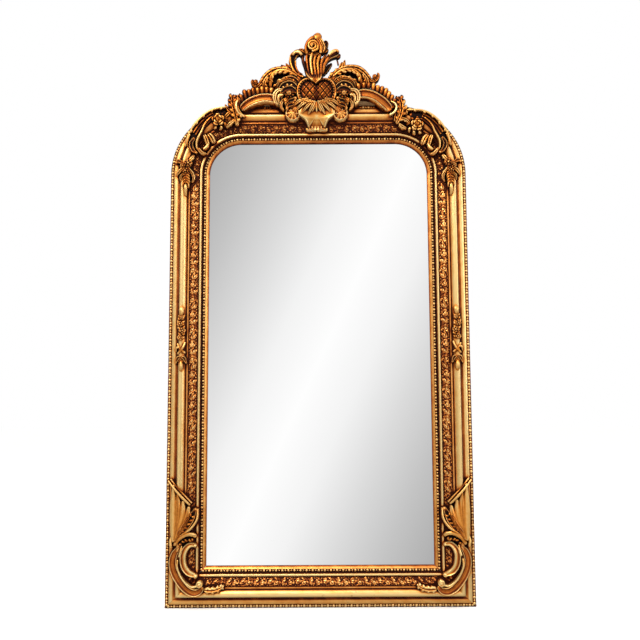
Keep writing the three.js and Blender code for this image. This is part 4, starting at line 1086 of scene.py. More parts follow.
def wing(place):
    """Three long petals over a flower and a stack of short ones, all turned away from the heart."""
    return [
        # A dark sheet behind the petals: painted shade and patina between them.
        strip(place, [(84, 72, 30, 4), (98, 28, 36, 6), (88, -22, 30, 4)], spacing=4, lift=-0.35),
        leaf(
            place, [(62, 66), (82, 84), (106, 86), (128, 74), (140, 54)], 12, 22, rolled_back,
            lobes=(26, 0.12),
        ),
        leaf(
            place, [(68, 48), (88, 65), (110, 66), (128, 54), (138, 36)], 11, 26, rolled_back,
            lobes=(24, 0.14),
        ),
        leaf(
            place, [(70, 30), (88, 46), (106, 47), (122, 38), (132, 20)], 10, 30, rolled_back,
            lobes=(22, 0.14),
        ),
        leaf(place, [(56, 74), (66, 92), (86, 104)], 5, 18, lift=-0.02),
        *blossom(place, 97, 24, 17, 32, 7),
        *blossom(place, 99, 26, 9, 38, 5, 0.7, lift=-0.02),
        leaf(place, [(114, 30), (126, 24), (131, 10), (126, -4)], 7, 28, SPOON, lobes=(13, 0.2)),
        leaf(place, [(72, 12), (84, 2), (100, -2), (114, -12)], 8, 34, SPOON, lobes=(16, 0.14)),
        leaf(place, [(72, -4), (86, -12), (102, -18), (110, -30)], 7, 32, SPOON, lobes=(14, 0.16)),
        leaf(place, [(116, 10), (126, -4), (128, -18), (118, -32)], 6, 26, TWO_RIDGES, lobes=(12, 0.2)),
        curl(place, 110, 2, 9, 33, turns=1.4, start=1.2),
        *frond(place, [(76, 60, 4, 26), (104, 66, 4, 26), (130, 50, 4, 22)], 19, 15, 4.0, sides=(-1,)),
        *frond(place, [(74, 18, 4, 32), (72, 0, 4, 32), (84, -16, 4, 30)], 12, 14, 4.0, sides=(1,)),
    ]


for side, word in SIDES:
    petals = wing(CREST_ON_RAIL._replace(mirror=side))
    piece(f"{word}_wing_petals", petals, CARVED, [f"crest_{word}_wing"])

# ---------------------------------------------------------------- crest: plume, finial and acanthus

FLUTES = [
    [(-20, 72, 6, 20), (-33, 102, 7, 14), (-43, 140, 8, 8), (-50, 168, 9, 6), (-46, 190, 7, 4)],
    [(-14, 68, 6, 26), (-27, 106, 7, 20), (-33, 144, 7.5, 14), (-36, 170, 8, 10), (-30, 196, 7, 6)],
    [(-8, 64, 6, 31), (-16, 106, 6.5, 27), (-21, 146, 7, 22), (-18, 176, 7, 16), (-8, 196, 6, 12)],
    [(-2, 62, 6, 33), (-4, 106, 6.5, 26), (-8, 144, 7, 20), (-4, 172, 7, 14), (6, 192, 6, 10)],
    [(5, 64, 6, 31), (7, 106, 6.5, 25), (4, 142, 7, 19), (8, 168, 8, 12), (18, 190, 6, 8)],
    [(11, 70, 6, 27), (16, 106, 7, 21), (17, 140, 8, 15), (24, 164, 8, 10), (36, 182, 6, 6)],
    [
        (15, 80, 6, 21), (23, 114, 8, 15), (29, 144, 9, 10), (44, 168, 10, 8), (66, 186, 9, 8),
        (80, 192, 5, 2),
    ],
]
PIERCED_LEAF = [
    (-30, 84, 8, 16), (-56, 98, 9, 12), (-78, 120, 10, 8), (-88, 150, 12, 6), (-84, 178, 14, 6),
    (-66, 192, 12, 8), (-48, 188, 7, 6),
]
# A dark sheet behind the flutes: painted shade and patina between them.
plume = [strip(CREST, [(-8, 70, 24, 6), (-8, 130, 34, 0), (-6, 186, 42, -4)], spacing=4, lift=-0.3)]
FLUTE_TONES = (-0.22, -0.14, 0.08, -0.04, 0.02, -0.1, -0.02)
ROPED_FLUTE = 2
for i, (stops, tone) in enumerate(zip(FLUTES, FLUTE_TONES)):
    slim = [(x, z, 0.66 * half, rise + 2) for x, z, half, rise in stops]
    veins = (7, 0.45) if i == ROPED_FLUTE else (26, 0.1)
    plume.append(strip(CREST, slim, veins=veins, lift=tone))
for i in range(7):
    spread = (i - 3) / 3
    foot = [(-2 + 7 * spread, 57 + 9 * abs(spread), 1.4, 46), (-4 + 17 * spread, 76, 2.3, 46)]
    foot += [(-8 + 24 * spread, 94, 2.6, 32), (-12 + 27 * spread, 116, 2.4, 14)]
    plume.append(strip(CREST_ON_RAIL, foot, lift=-0.02 + 0.12 * math.cos(5 * i)))
plume += [
    strip(
        CREST, [(22, 108, 6, 6), (34, 124, 9, 4), (47, 142, 8, 2), (57, 152, 3, 0)], SPOON, lobes=(12, 0.2),
    ),
    strip(
        CREST, [(34, 160, 8, 10), (52, 176, 12, 14), (68, 184, 13, 13), (82, 190, 6, 6)], SPOON, lift=0.05,
    ),
    strip(CREST, [(44, 176, 4, 16), (60, 190, 6, 18), (74, 196, 5, 14), (83, 190, 3, 8)], lift=0.12),
    strip(CREST, [(66, 176, 3, 4), (78, 174, 4, 4), (86, 180, 3, 2), (84, 188, 2.4, 0)]),
    strip(CREST, PIERCED_LEAF, SPOON, lobes=(22, 0.14)),
    strip(
        CREST,
        [(-46, 94, 3, 18), (-66, 102, 3.4, 16), (-84, 122, 3.6, 14), (-94, 150, 3.4, 10), (-96, 176, 3, 8)],
    ),
    strip(CREST, [(-50, 104, 3, 14), (-66, 116, 3, 12), (-75, 138, 3, 10), (-76, 160, 3, 8)], lift=-0.05),
    strip(CREST, [(-52, 178, 5, 15), (-64, 190, 6, 16), (-78, 190, 5, 12), (-88, 180, 4, 8)], lift=0.12),
    strip(CREST, [(-38, 190, 7, 10), (-52, 200, 7, 8), (-66, 202, 5, 4)], TWO_RIDGES, lift=-0.05),
    strip(CREST, [(-70, 96, 5, 6), (-92, 110, 6, 4), (-100, 130, 5, 2), (-98, 144, 2.4, 0)], TWO_RIDGES),
    strip(CREST, [(-62, 90, 5, 8), (-84, 96, 6, 6), (-106, 112, 6, 3), (-116, 132, 3, 0)], TWO_RIDGES),
    strip(CREST, [(70, 182, 2.2, 0), (76, 166, 2.2, -2), (80, 148, 3, -2)]),
]
piece("plume_flutes", plume, CARVED, ["crest_plume"])


def nautilus(x, z, turns, size, rise):
    """A spiral ridge wound about a bud, its outer end towards the plume."""
    stops = []
    for t in np.linspace(0, 1, 5 * turns + 3):
        angle = math.radians(-100) + t * turns * 2 * math.pi
        reach = size * (1 - 0.78 * t)
        stops.append((*polar(x, z, reach, angle), 4.6 - 2 * t, rise + 4 * t))
    return strip(CREST, stops, spacing=1.3, lift=0.08)


finial = [
    strip(
        CREST, [(-4, 176, 30, 4), (-5, 200, 31, 9), (-2, 222, 27, 10), (1, 244, 17, 8), (3, 262, 8, 4)],
        spacing=3, lift=-0.22,
    ),
    nautilus(-13, 211, 2, 22, 22),
    button(CREST, -15, 213, 5, 28),
    strip(
        CREST,
        [(-34, 182, 6, 12), (-38, 204, 6, 16), (-31, 226, 7, 18), (-16, 242, 7, 18), (-4, 250, 5, 14)],
    ),
    strip(CREST, [(-6, 236, 8, 20), (3, 246, 16, 20), (4, 256, 14, 16), (3, 266, 6, 10)], lift=0.14),
    strip(
        CREST, [(20, 186, 6, 14), (27, 204, 7, 18), (22, 222, 7, 20), (14, 238, 6, 18), (6, 246, 4, 12)],
        TWO_RIDGES,
    ),
    strip(CREST, [(14, 182, 5, 18), (17, 202, 6, 21), (12, 222, 5, 20), (4, 236, 4, 18)], lift=-0.04),
    strip(
        CREST, [(24, 196, 6, 12), (33, 210, 7, 14), (38, 222, 7, 14), (33, 230, 5, 12), (26, 224, 3, 8)],
        SPOON, lift=0.06,
    ),
    strip(CREST, [(26, 190, 5, 8), (36, 196, 6, 9), (43, 206, 4, 4)], TWO_RIDGES),
    strip(
        CREST, [(-30, 186, 5, 12), (-16, 180, 6, 16), (0, 182, 6, 16), (14, 190, 5, 12)], TWO_RIDGES,
        lift=-0.1,
    ),
]
piece("finial_flame", finial, CARVED, ["crest_finial"])


# Strokes are measured outwards from the middle of the crest.
ACANTHUS = {
    "left": {
        "outer": [
            (48, 88, 9, 12), (86, 111, 12, 12), (122, 126, 13, 12), (156, 123, 13, 10), (182, 105, 12, 9),
            (198, 84, 10, 8), (209, 67, 8, 8), (220, 62, 6, 9), (231, 68, 5, 9), (235, 80, 4.5, 9),
            (230, 90, 3.5, 7),
        ],
        "inner": [
            (70, 98, 3, 18), (104, 116, 4, 20), (138, 119, 4.5, 18), (160, 106, 4.5, 15), (168, 88, 4, 12),
            (164, 72, 3, 8),
        ],
        "lower": [(72, 64, 8, 20), (96, 80, 10, 20), (122, 80, 10, 18), (142, 66, 8, 12), (148, 50, 4, 4)],
        "falling": [(176, 100, 6, 12), (188, 80, 8, 12), (192, 58, 7, 8), (186, 40, 4, 2)],
        "hanging": [(158, 100, 5, 12), (168, 76, 6, 10), (166, 54, 4, 4)],
        "spikes": [[(96, 118), (112, 134), (130, 146)], [(86, 116), (100, 136), (112, 152)]],
        "eye": (221, 79),
    },
    "right": {
        "outer": [
            (44, 86, 9, 12), (74, 114, 12, 12), (106, 130, 12, 12), (142, 132, 13, 10), (168, 119, 12, 9),
            (186, 100, 10, 8), (198, 84, 8, 8), (210, 80, 6, 9), (222, 88, 5, 9), (227, 102, 4.5, 9),
            (222, 113, 3.5, 7),
        ],
        "inner": [
            (60, 96, 3, 18), (90, 117, 4, 20), (122, 123, 4.5, 18), (148, 112, 4.5, 15), (160, 94, 4, 12),
            (158, 78, 3, 8),
        ],
        "lower": [(68, 66, 8, 20), (92, 84, 10, 20), (120, 84, 10, 18), (142, 70, 8, 12), (148, 54, 4, 4)],
        "falling": [(168, 108, 6, 12), (182, 88, 8, 12), (186, 64, 7, 8), (180, 46, 4, 2)],
        "hanging": [(150, 104, 5, 12), (162, 82, 6, 10), (162, 60, 4, 4)],
        "spikes": [[(92, 126), (100, 146), (104, 164)], [(82, 122), (90, 142), (94, 156)]],
        "eye": (212, 97),
    },
}
for side, word in SIDES:
    place, leafage = CREST._replace(mirror=side), ACANTHUS[word]
    x, z = leafage["eye"]
    # The ground under the leaves is painted dark: shade and patina between them.
    ground = [(60, 66, 26, 2), (104, 76, 36, -1), (150, 78, 34, -3), (183, 70, 20, -4)]
    acanthus = [
        strip(place, ground, spacing=4, lift=-0.4),
        strip(place, leafage["outer"], TWO_RIDGES, veins=(19, 0.2), lift=0.06),
        strip(place, leafage["inner"], lift=0.04),
        strip(place, leafage["lower"], THREE_RIDGES, lobes=(24, 0.14), lift=0.02),
        strip(place, leafage["falling"], TWO_RIDGES, lobes=(16, 0.15)),
        strip(place, leafage["hanging"], lift=-0.06),
        *(leaf(place, points, 7, 8, TWO_RIDGES, tuck=6) for points in leafage["spikes"]),
        *frond(place, leafage["outer"][:3], 24, 20, 6.0, sides=(1,), lean=0.5, lift=-0.02),
        *frond(place, leafage["inner"], 22, 24, 5.0, sides=(-1,), lean=0.6, lift=-0.1),
        *frond(place, leafage["lower"], 20, 16, 4.4, sides=(1,), lean=0.6, lift=-0.1),
        *frond(place, leafage["falling"], 17, 15, 4.4, sides=(-1,), lift=-0.1),
        curl(place, x, z, 9, 14, turns=1.5, start=2.0),
    ]
    piece(f"{word}_acanthus_scroll", acanthus, CARVED, [f"crest_{word}_acanthus"])

# ---------------------------------------------------------------- crest: arcs and gadroons

ARCS = {
    "left": [
        (-275, -24, 12, 14), (-248, -4, 15, 20), (-218, 9, 16, 24), (-184, 15, 16, 24), (-154, 11, 15, 22),
        (-136, 3, 12, 16),
    ],
    "right": [
        (138, 22, 12, 16), (162, 29, 16, 22), (187, 27, 17, 24), (217, 15, 17, 24), (245, -6, 17, 20),
        (268, -29, 14, 14),
    ],
}
GADROONS = {"left": (17, 31, 35, 37, 41, 45, 37), "right": (25, 33, 35, 37, 41, 41, 33)}
GADROON_COUNT = 11
GADROON_LEAN = 0.45
GADROON_HALF = 8.6
GADROON_LENGTHS, GADROON_TONES = (0.84, 1.04), (-0.2, 0.02)


def gadroons(word):
    """Rounded lobes that stand nearly upright on the arc's upper rim, the shortest beside the heart."""
    line, _ = smooth_line(ARCS[word], 1.0)
    if word == "left":
        line = line[::-1]
    slope = np.gradient(line[:, :2], axis=0)
    normal = np.arctan2(np.abs(slope[:, 0]), -slope[:, 1] * np.sign(slope[:, 0]))
    tall = GADROONS[word]
    lengths = np.interp(np.linspace(0, len(tall) - 1, GADROON_COUNT), range(len(tall)), tall)
    parts = []
    for i, length in enumerate(lengths):
        k = int((i + 0.5) / GADROON_COUNT * (len(line) - 1))
        x, z, half = line[k, :3]
        out = normal[k]
        lean = math.pi / 2 + GADROON_LEAN * (out - math.pi / 2)
        root = polar(x, z, half + 1, out)
        length = length * rng.uniform(*GADROON_LENGTHS)
        lobe = []
        for reach, share, rise in (
            (-8, 0.7, 8), (0.35 * length, 0.95, 14), (0.75 * length, 1.0, 14), (length, 0.6, 6),
        ):
            lobe.append((*polar(*root, reach, lean), share * GADROON_HALF, rise))
        lift = rng.uniform(*GADROON_TONES)
        parts.append(strip(CREST, lobe, spacing=1.6, drop=1.3, most_drop=14, lift=lift))
    bed = []
    for (x, z, half, _), out in zip(line[6::24], normal[6::24]):
        bed.append((*polar(x, z, half + 4, out), 7, 3))
    parts.append(strip(CREST, bed, spacing=3))
    return parts


ARC_ENDS = {
    "left": [
        (-262, -50, 3, 10), (-283, -38, 3.4, 16), (-291, -16, 3.6, 18), (-288, 4, 3.4, 16),
        (-276, 16, 3, 12),
    ],
    "right": [
        (262, -50, 3, 14), (280, -40, 3.4, 18), (289, -22, 3.6, 18), (283, -6, 3.4, 16), (268, 4, 3, 12),
    ],
}
for side, word in SIDES:
    place = CREST_ON_RAIL._replace(mirror=side)
    arc = [
        strip(CREST_ON_RAIL, ARCS[word], CHANNEL, spacing=1.8, most_drop=12, lift=0.04),
        strip(CREST_ON_RAIL, ARC_ENDS[word], spacing=1.6, lift=0.06),
        leaf(
            place, [(122, 44), (142, 40), (152, 24), (150, 4), (138, -10)], 9, 24, TWO_RIDGES,
            lobes=(14, 0.15),
        ),
        leaf(place, [(120, 24), (134, 22), (138, 8), (134, -6)], 6, 26, spacing=1.6),
    ]
    piece(f"{word}_arc", arc, BRIGHT, [f"crest_{word}_arc"])
    piece(f"{word}_gadroon_row", gadroons(word), CARVED, [f"crest_{word}_gadroons"])

# ---------------------------------------------------------------- shoulders

# Strokes are measured outwards from the middle of the frame and down from its top.
SPRAYS = {
    "left": {
        "stem": [(292, -84, 6, 8), (298, -50, 9, 14), (306, -14, 11, 15), (310, 18, 8, 8), (306, 36, 4, 2)],
        "scroll": [
            (262, -50, 4, 8), (282, -42, 7, 14), (294, -18, 7, 16), (290, 14, 6, 12), (283, 38, 3, 6),
        ],
        "leaves": [
            [(304, -50), (322, -28), (338, -2)], [(304, -66), (320, -78), (332, -90)],
            [(312, -30), (330, -44), (344, -62)],
        ],
    },
    "right": {
        "stem": [(284, -80, 6, 8), (296, -54, 9, 14), (303, -26, 11, 15), (300, 4, 9, 10), (293, 26, 4, 2)],
        "scroll": [(278, -70, 4, 6), (285, -42, 7, 14), (290, -12, 7, 14), (288, 6, 3, 8)],
        "leaves": [
            [(300, -60), (318, -66), (334, -78)], [(292, -82), (306, -92), (320, -96)],
            [(308, -20), (318, -36), (316, -54)],
        ],
    },
}


def spray(place, leafage):
    """A cluster of cut leaves where the arc meets the shoulder."""
    return [
        strip(place, leafage["stem"], TWO_RIDGES, lobes=(16, 0.2), lift=-0.06),
        strip(place, leafage["scroll"], ROLLED),
        *(
            leaf(place, points, 8, 11, TWO_RIDGES, lobes=(12, 0.2), lift=-0.04)
            for points in leafage["leaves"]
        ),
        *frond(place, leafage["stem"], 19, 24, 6.4, lean=0.7, lift=-0.1),
        *frond(place, leafage["scroll"], 18, 14, 4.6, sides=(-1,), lift=-0.1),
    ]


for side, word in SIDES:
    leafage = spray(TOP._replace(mirror=side), SPRAYS[word])
    piece(f"{word}_spray_leaves", leafage, CARVED, [f"{word}_spray"])


def rose(place, x, z, size):
    """A full rose: rings of petal edges about a rolled bud on a ground painted dark, as shade and patina,
    with leaves behind.
    """
    ring = [(*polar(x, z, size, angle), 4, 4) for angle in np.linspace(0, 5.6, 9)]
    parts = [
        *frond(place, ring, 17, 17, 5.0, sides=(-1,), lift=-0.14),
        button(place, x, z, size * 0.95, 12, dome=9, lift=-0.34),
        curl(place, x, z, size * 0.34, 22, turns=1.6, start=0.5, width=0.5),
    ]
    for far, count, rise, turn in ((0.86, 5, 13, 0.2), (0.56, 4, 18, 0.8)):
        for i in range(count):
            middle = turn + i * 2 * math.pi / count
            stops = []
            for share, half in ((-1, 1.4), (-0.5, 3.0), (0, 3.6), (0.5, 3.0), (1, 1.4)):
                angle = middle + share * 0.46 * 2 * math.pi / count
                reach = size * (far - 0.16 * share * share)
                stops.append((*polar(x, z, reach, angle), half, rise - 3 * share**2))
            parts.append(strip(place, stops, spacing=1.4, lift=rng.uniform(-0.06, 0.12)))
    return parts


SHOULDER_RIM = [
    (318, -14, 2.6, 8), (350, -18, 3, 14), (384, -27, 3.4, 16), (412, -45, 3.8, 17), (440, -73, 4, 16),
    (460, -102, 3.4, 12), (474, -132, 3, 8), (480, -160, 2.4, 2),
]
SHOULDER_HOLLOW = [
    (330, -32, 10, 4), (368, -42, 16, 4), (400, -62, 18, 4), (430, -94, 17, 4), (452, -130, 13, 4),
    (456, -160, 8, 2),
]
INNER_RIM = [
    (384, -50, 2.2, 12), (400, -66, 2.6, 14), (412, -84, 2.8, 15), (420, -104, 3, 15), (430, -124, 3.2, 15),
    (438, -144, 3.2, 13), (438, -164, 2.8, 9), (430, -180, 2, 3),
]


def shoulder(place, low):
    """A long hollow leaf bent round the shoulder, with a pale rim on each side. low drops its upper end."""

    def lowered(stops):
        return [(x, z - low * max(0.0, (460 - x) / 140), *rest) for x, z, *rest in stops]

    parts = [
        # The hollow is painted dark: shade and patina within it.
        strip(place, lowered(SHOULDER_HOLLOW), spacing=3, lift=-0.34),
        strip(place, lowered(SHOULDER_RIM), lift=0.08),
        strip(place, lowered(INNER_RIM), lift=-0.02),
        strip(
            place, lowered([(398, -112, 8, 6), (386, -126, 10, 6), (376, -146, 8, 3)]), TWO_RIDGES,
            lift=-0.1,
        ),
        strip(
            place, lowered([(412, -116, 6, 8), (404, -134, 8, 8), (398, -156, 6, 4)]), TWO_RIDGES,
            lift=-0.12,
        ),
        *frond(place, lowered(SHOULDER_RIM), 34, 15, 4.0, sides=(-1,), lean=0.5, lift=-0.06),
        leaf(
            place, lowered([(446, -130), (458, -154), (450, -176), (436, -184)]), 8, 15, SPOON,
            lobes=(14, 0.16),
        ),
        leaf(place, lowered([(432, -168), (420, -184), (404, -186)]), 6, 12, TWO_RIDGES),
        leaf(place, lowered([(462, -116), (473, -140), (468, -166)]), 5, 12, lift=-0.06),
        leaf(place, lowered([(414, -172), (402, -160), (394, -142)]), 5, 10, lift=-0.1),
    ]
    for gap, lift in ((11, -0.05), (21, -0.16), (31, -0.2)):
        within = [(x - gap * (x - 300) / 200, z - gap * 0.8, 3.2, 9) for x, z, _, _ in SHOULDER_RIM[2:6]]
        parts.append(strip(place, lowered(within), spacing=1.8, lift=lift))
    return parts


ROSE_AT = {"left": (362, -62), "right": (358, -84)}
ROSE_SIZE = 23
SHOULDER_LOW = {"left": 0, "right": 14}
for side, word in SIDES:
    place = TOP._replace(mirror=side)
    bloom = rose(place, *ROSE_AT[word], ROSE_SIZE)
    piece(f"{word}_rose_bloom", bloom, CARVED, [f"{word}_rose"])
    bent_leaf = shoulder(place, SHOULDER_LOW[word])
    piece(f"{word}_shoulder_scroll", bent_leaf, CARVED, [f"{word}_shoulder_leaf"])

# ---------------------------------------------------------------- drops and garlands


def drop(side):
    """A hanging flower with its leaves, ending in a long bud. x runs outwards from the torus."""
    place = on_torus(side)
    stem = [(-16, 26, 4, 6), (-12, 4, 5, 8), (-11, -22, 5, 8), (-9, -44, 4, 6)]
    return [
        *blossom(place, -18, 32, 15, 12, 5, 0.5),
        *blossom(place, 2, 22, 11, 9, 5, 0.9),
        *blossom(place, -8, 4, 12, 11, 5, 0.2, lift=-0.14),
        # A dark sheet behind the flowers: painted shade and patina between them.
        strip(place, [(-8, 44, 18, -2), (-8, 0, 24, -2), (-10, -50, 14, -2)], spacing=3, lift=-0.3),
        leaf(place, [(-22, 40), (-30, 52), (-38, 64)], 8, 8, TWO_RIDGES, lobes=(10, 0.2)),
        leaf(place, [(4, 32), (18, 42), (31, 36)], 7, 8, SPOON),
        leaf(place, [(0, 14), (14, 2), (25, -12)], 8, 10, TWO_RIDGES, lobes=(10, 0.2), lift=-0.1),
        leaf(
            place, [(-20, 12), (-32, -4), (-37, -22), (-31, -38)], 6, 8, TWO_RIDGES, lobes=(12, 0.2),
            lift=-0.1,
        ),
        leaf(place, [(-4, -6), (8, -16), (10, -34)], 5, 10, TWO_RIDGES, lobes=(10, 0.2), lift=-0.1),
        strip(place, stem, lift=-0.1),
        *frond(place, stem, 9, 18, 3.6, lift=-0.08),
        strip(place, [(-9, -44, 3, 8), (-9, -58, 6, 12), (-9, -76, 5, 8), (-10, -88, 2.5, 2)], lift=0.12),
        strip(place, [(-16, -36, 2.4, 6), (-19, -48, 3, 6), (-17, -60, 2, 2)], lift=-0.1),
        strip(place, [(-2, -36, 2.4, 6), (1, -48, 3, 6), (-1, -60, 2, 2)], lift=-0.1),
    ]


GARLAND_LOW, GARLAND_HIGH, KNOT_Z = 808, 1044, 891


def garland(side):
    """A stem of small flowers with a bud at each end, crossed ribbon and a pair of leaves below."""
    place = on_torus(side, 0.0)
    high, low = GARLAND_HIGH, GARLAND_LOW
    parts = [
        strip(
            place, [(0, high, 3, 0), (0, high - 14, 9, 9), (0, high - 28, 7, 9), (0, high - 38, 4, 5)],
            lift=0.08,
        ),
        strip(
            place, [(0, low, 3, 0), (0, low + 14, 8, 9), (0, low + 28, 7, 9), (0, low + 40, 3, 5)],
            lift=0.06,
        ),
        # A dark sheet behind the flowers: painted shade and patina between them.
        strip(
            place, [(0, low + 30, 8, -3), (0, 926, 13, -3), (0, high - 24, 9, -3)], spacing=3, lift=-0.34,
        ),
        strip(
            place, [(-14, KNOT_Z + 24, 3, 3), (-6, KNOT_Z + 2, 3.6, 9), (13, KNOT_Z - 20, 4, 4)],
            lift=-0.06,
        ),
        strip(
            place, [(-15, KNOT_Z - 17, 4, 4), (2, KNOT_Z - 2, 3.4, 7), (14, KNOT_Z + 18, 3, 3)], lift=-0.08,
        ),
        leaf(place, [(4, KNOT_Z + 4), (16, KNOT_Z + 2), (19, KNOT_Z - 12)], 4, 8),
        *frond(
            place, [(0, 918, 5, 4), (-2, 950, 6, 5), (2, 980, 6, 5), (0, 1012, 5, 4)], 11, 17, 3.8,
            lift=-0.1,
        ),
        *frond(place, [(0, 866, 4, 4), (0, 848, 4, 4), (0, 832, 4, 4)], 10, 12, 3.2, lift=-0.06),
    ]
    for x, z, size, turn in ((-3, 1000, 9, 0.2), (5, 978, 11, 0.9), (-5, 954, 12, 0.5), (4, 930, 11, 1.3)):
        parts += blossom(place, x, z, size, 8, 5, turn, lift=-0.12)
    for turn in (-1, 1):
        points = [(turn * 2, 862), (turn * 12, 856), (turn * 19, 838)]
        parts.append(leaf(place, points, 6, 9, SPOON, lift=0.04))
    return parts


for side, word in SIDES:
    piece(f"{word}_flower_drop", drop(side), CARVED, [f"{word}_drop"])
    piece(f"{word}_leaf_garland", garland(side), CARVED, [f"{word}_garland"])

# ---------------------------------------------------------------- bottom corners


def outer_scroll(side):
    """The large C scroll of a bottom corner, with the leaf that runs on from it along the rail."""
    place = at_corner(side)
    line = [
        (56, 210, 5, 2), (38, 190, 11, 8), (31, 164, 13, 12), (34, 138, 14, 14), (45, 112, 14, 14),
        (61, 88, 14, 14), (79, 69, 14, 14), (100, 58, 13, 14), (121, 61, 11, 12), (134, 76, 7, 8),
    ]
    ridge = [
        (48, 168, 2.2, 8), (47, 142, 3, 12), (58, 114, 3.2, 13), (74, 92, 3.2, 13), (96, 77, 3.2, 12),
        (116, 79, 3, 10),
    ]
    leaf_line = [(138, 66, 9, 8), (162, 64, 11, 8), (186, 68, 8, 5), (206, 80, 3, 0)]
    return [
        strip(place, line, CHANNEL, spacing=1.8, most_drop=12, lift=0.1),
        strip(place, ridge, spacing=1.8, lift=0.02),
        curl(place, 123, 86, 11, 18, turns=1.3, start=2.4),
        leaf(place, [(52, 176), (58, 192), (60, 214)], 5, 12, lift=0.04),
        strip(place, leaf_line, TWO_RIDGES, lobes=(22, 0.16), lift=-0.22),
        *frond(place, leaf_line, 17, 12, 4.2, lift=-0.24),
    ]


def inner_scroll(side):
    """The small C scroll inside the large one, with a bead at each end."""
    place = at_corner(side)
    line = [
        (110, 213, 5, 0), (90, 216, 8, 6), (75, 205, 10, 10), (66, 186, 10, 12), (65, 163, 10, 12),
        (70, 142, 10, 12), (81, 126, 10, 10), (95, 117, 8, 8), (108, 113, 5, 2),
    ]
    return [
        strip(place, line, ROLLED, spacing=1.8, most_drop=11, lift=0.1),
        button(place, 108, 111, 7, 8),
        button(place, 106, 213, 5, 5),
    ]


def corner_leaf(side):
    """A broad leaf laid up the stile to a slanting end, with a hollow lobe and a rolled arch beside it."""
    place = at_corner(side)
    rays = [
        [(32, 226), (32, 280), (30, 350), (30, 420)], [(34, 228), (42, 284), (46, 340), (46, 392)],
        [(36, 230), (52, 280), (62, 324), (64, 366)], [(38, 230), (62, 276), (78, 312), (84, 346)],
    ]
    return [
        *(leaf(place, points, 12.5, 12, tuck=3, lift=0.34, most_drop=6) for points in rays),
        *(leaf(place, points, 3.0, 14, tuck=5, lift=0.1) for points in rays[1::2]),
        strip(place, [(11, 434, 2.4, 6), (34, 406, 3.6, 14), (60, 378, 4, 15), (88, 350, 3, 8)], lift=0.08),
        strip(place, [(18, 440, 2, 0), (42, 410, 3, 6), (68, 382, 3.4, 6), (94, 356, 2.4, 2)], lift=-0.12),
        leaf(place, [(48, 250), (72, 276), (92, 306), (108, 340)], 15, 16, SPOON, tuck=10),
        strip(
            place, [(62, 252, 2.6, 16), (92, 272, 3.4, 18), (112, 302, 3.2, 12), (114, 338, 2.6, 2)],
            lift=0.1,
        ),
        *frond(place, [(52, 256, 4, 14), (76, 284, 5, 14), (100, 322, 4, 10)], 16, 16, 3.6, lift=-0.12),
        # A dark strip at the foot of the leaves: painted shade and patina.
        strip(place, [(46, 216, 12, 2), (72, 232, 13, 2), (100, 232, 8, 0)], spacing=3, lift=-0.36),
        strip(
            place,
            [(34, 214, 5, 8), (52, 238, 7, 14), (76, 252, 7, 15), (98, 251, 6, 10), (110, 242, 4, 2)],
            lift=0.08,
        ),
        leaf(place, [(26, 206), (22, 226), (26, 250)], 5, 14, lift=0.06),
        *frond(
            place, [(44, 212, 4, 6), (66, 234, 4, 8), (96, 238, 4, 4)], 13, 14, 3.2, sides=(-1,),
            lift=-0.16,
        ),
    ]


for side, word in SIDES:
    piece(f"{word}_outer_c_scroll", outer_scroll(side), BRIGHT, [f"{word}_outer_scroll"])
    piece(f"{word}_inner_c_scroll", inner_scroll(side), BRIGHT, [f"{word}_inner_scroll"])
    piece(f"{word}_corner_leaf_spray", corner_leaf(side), CARVED, [f"{word}_corner_leaf"])

# ---------------------------------------------------------------- patina and painted shade from the depth of the carving

CELL = 2.5  # millimetres
GRID_X = np.arange(-HALF_WIDTH - 20, HALF_WIDTH + 20, CELL)
GRID_Z = np.arange(-20, 2080, CELL)


# For each average of the depths about a point: how far it reaches, and how much it counts in the tone.
AVERAGES = ((4.0, 0.07), (11.0, 0.022))


def gaussian(grid, reach):
    """The grid, averaged about each cell with the given reach in millimetres."""
    radius = int(3 * reach / CELL)
    kernel = np.exp(-0.5 * (np.arange(-radius, radius + 1) * CELL / reach) ** 2)
    kernel /= kernel.sum()
    for axis in (0, 1):
        grid = np.apply_along_axis(lambda row: np.convolve(row, kernel, mode="same"), axis, grid)
    return grid


def depth_map():
    """How far forward the carving stands, over the whole front. 0 where there is nothing."""
    depth = np.zeros((len(GRID_X), len(GRID_Z)))
    for _, part in carvings:
        faces = part.points[part.quads]
        for share in ((1, 0, 0, 0), (0.25, 0.25, 0.25, 0.25)):
            points = np.tensordot(faces, share, axes=([1], [0]))
            i = np.clip(((points[:, 0] - GRID_X[0]) / CELL).round().astype(int), 0, len(GRID_X) - 1)
            k = np.clip(((points[:, 2] - GRID_Z[0]) / CELL).round().astype(int), 0, len(GRID_Z) - 1)
            np.maximum.at(depth, (i, k), BACK_Y - points[:, 1])
    for _ in range(2):
        around = np.maximum.reduce([np.roll(depth, n, axis) for n in (1, -1) for axis in (0, 1)])
        depth = np.where(depth == 0, around, depth)
    return depth


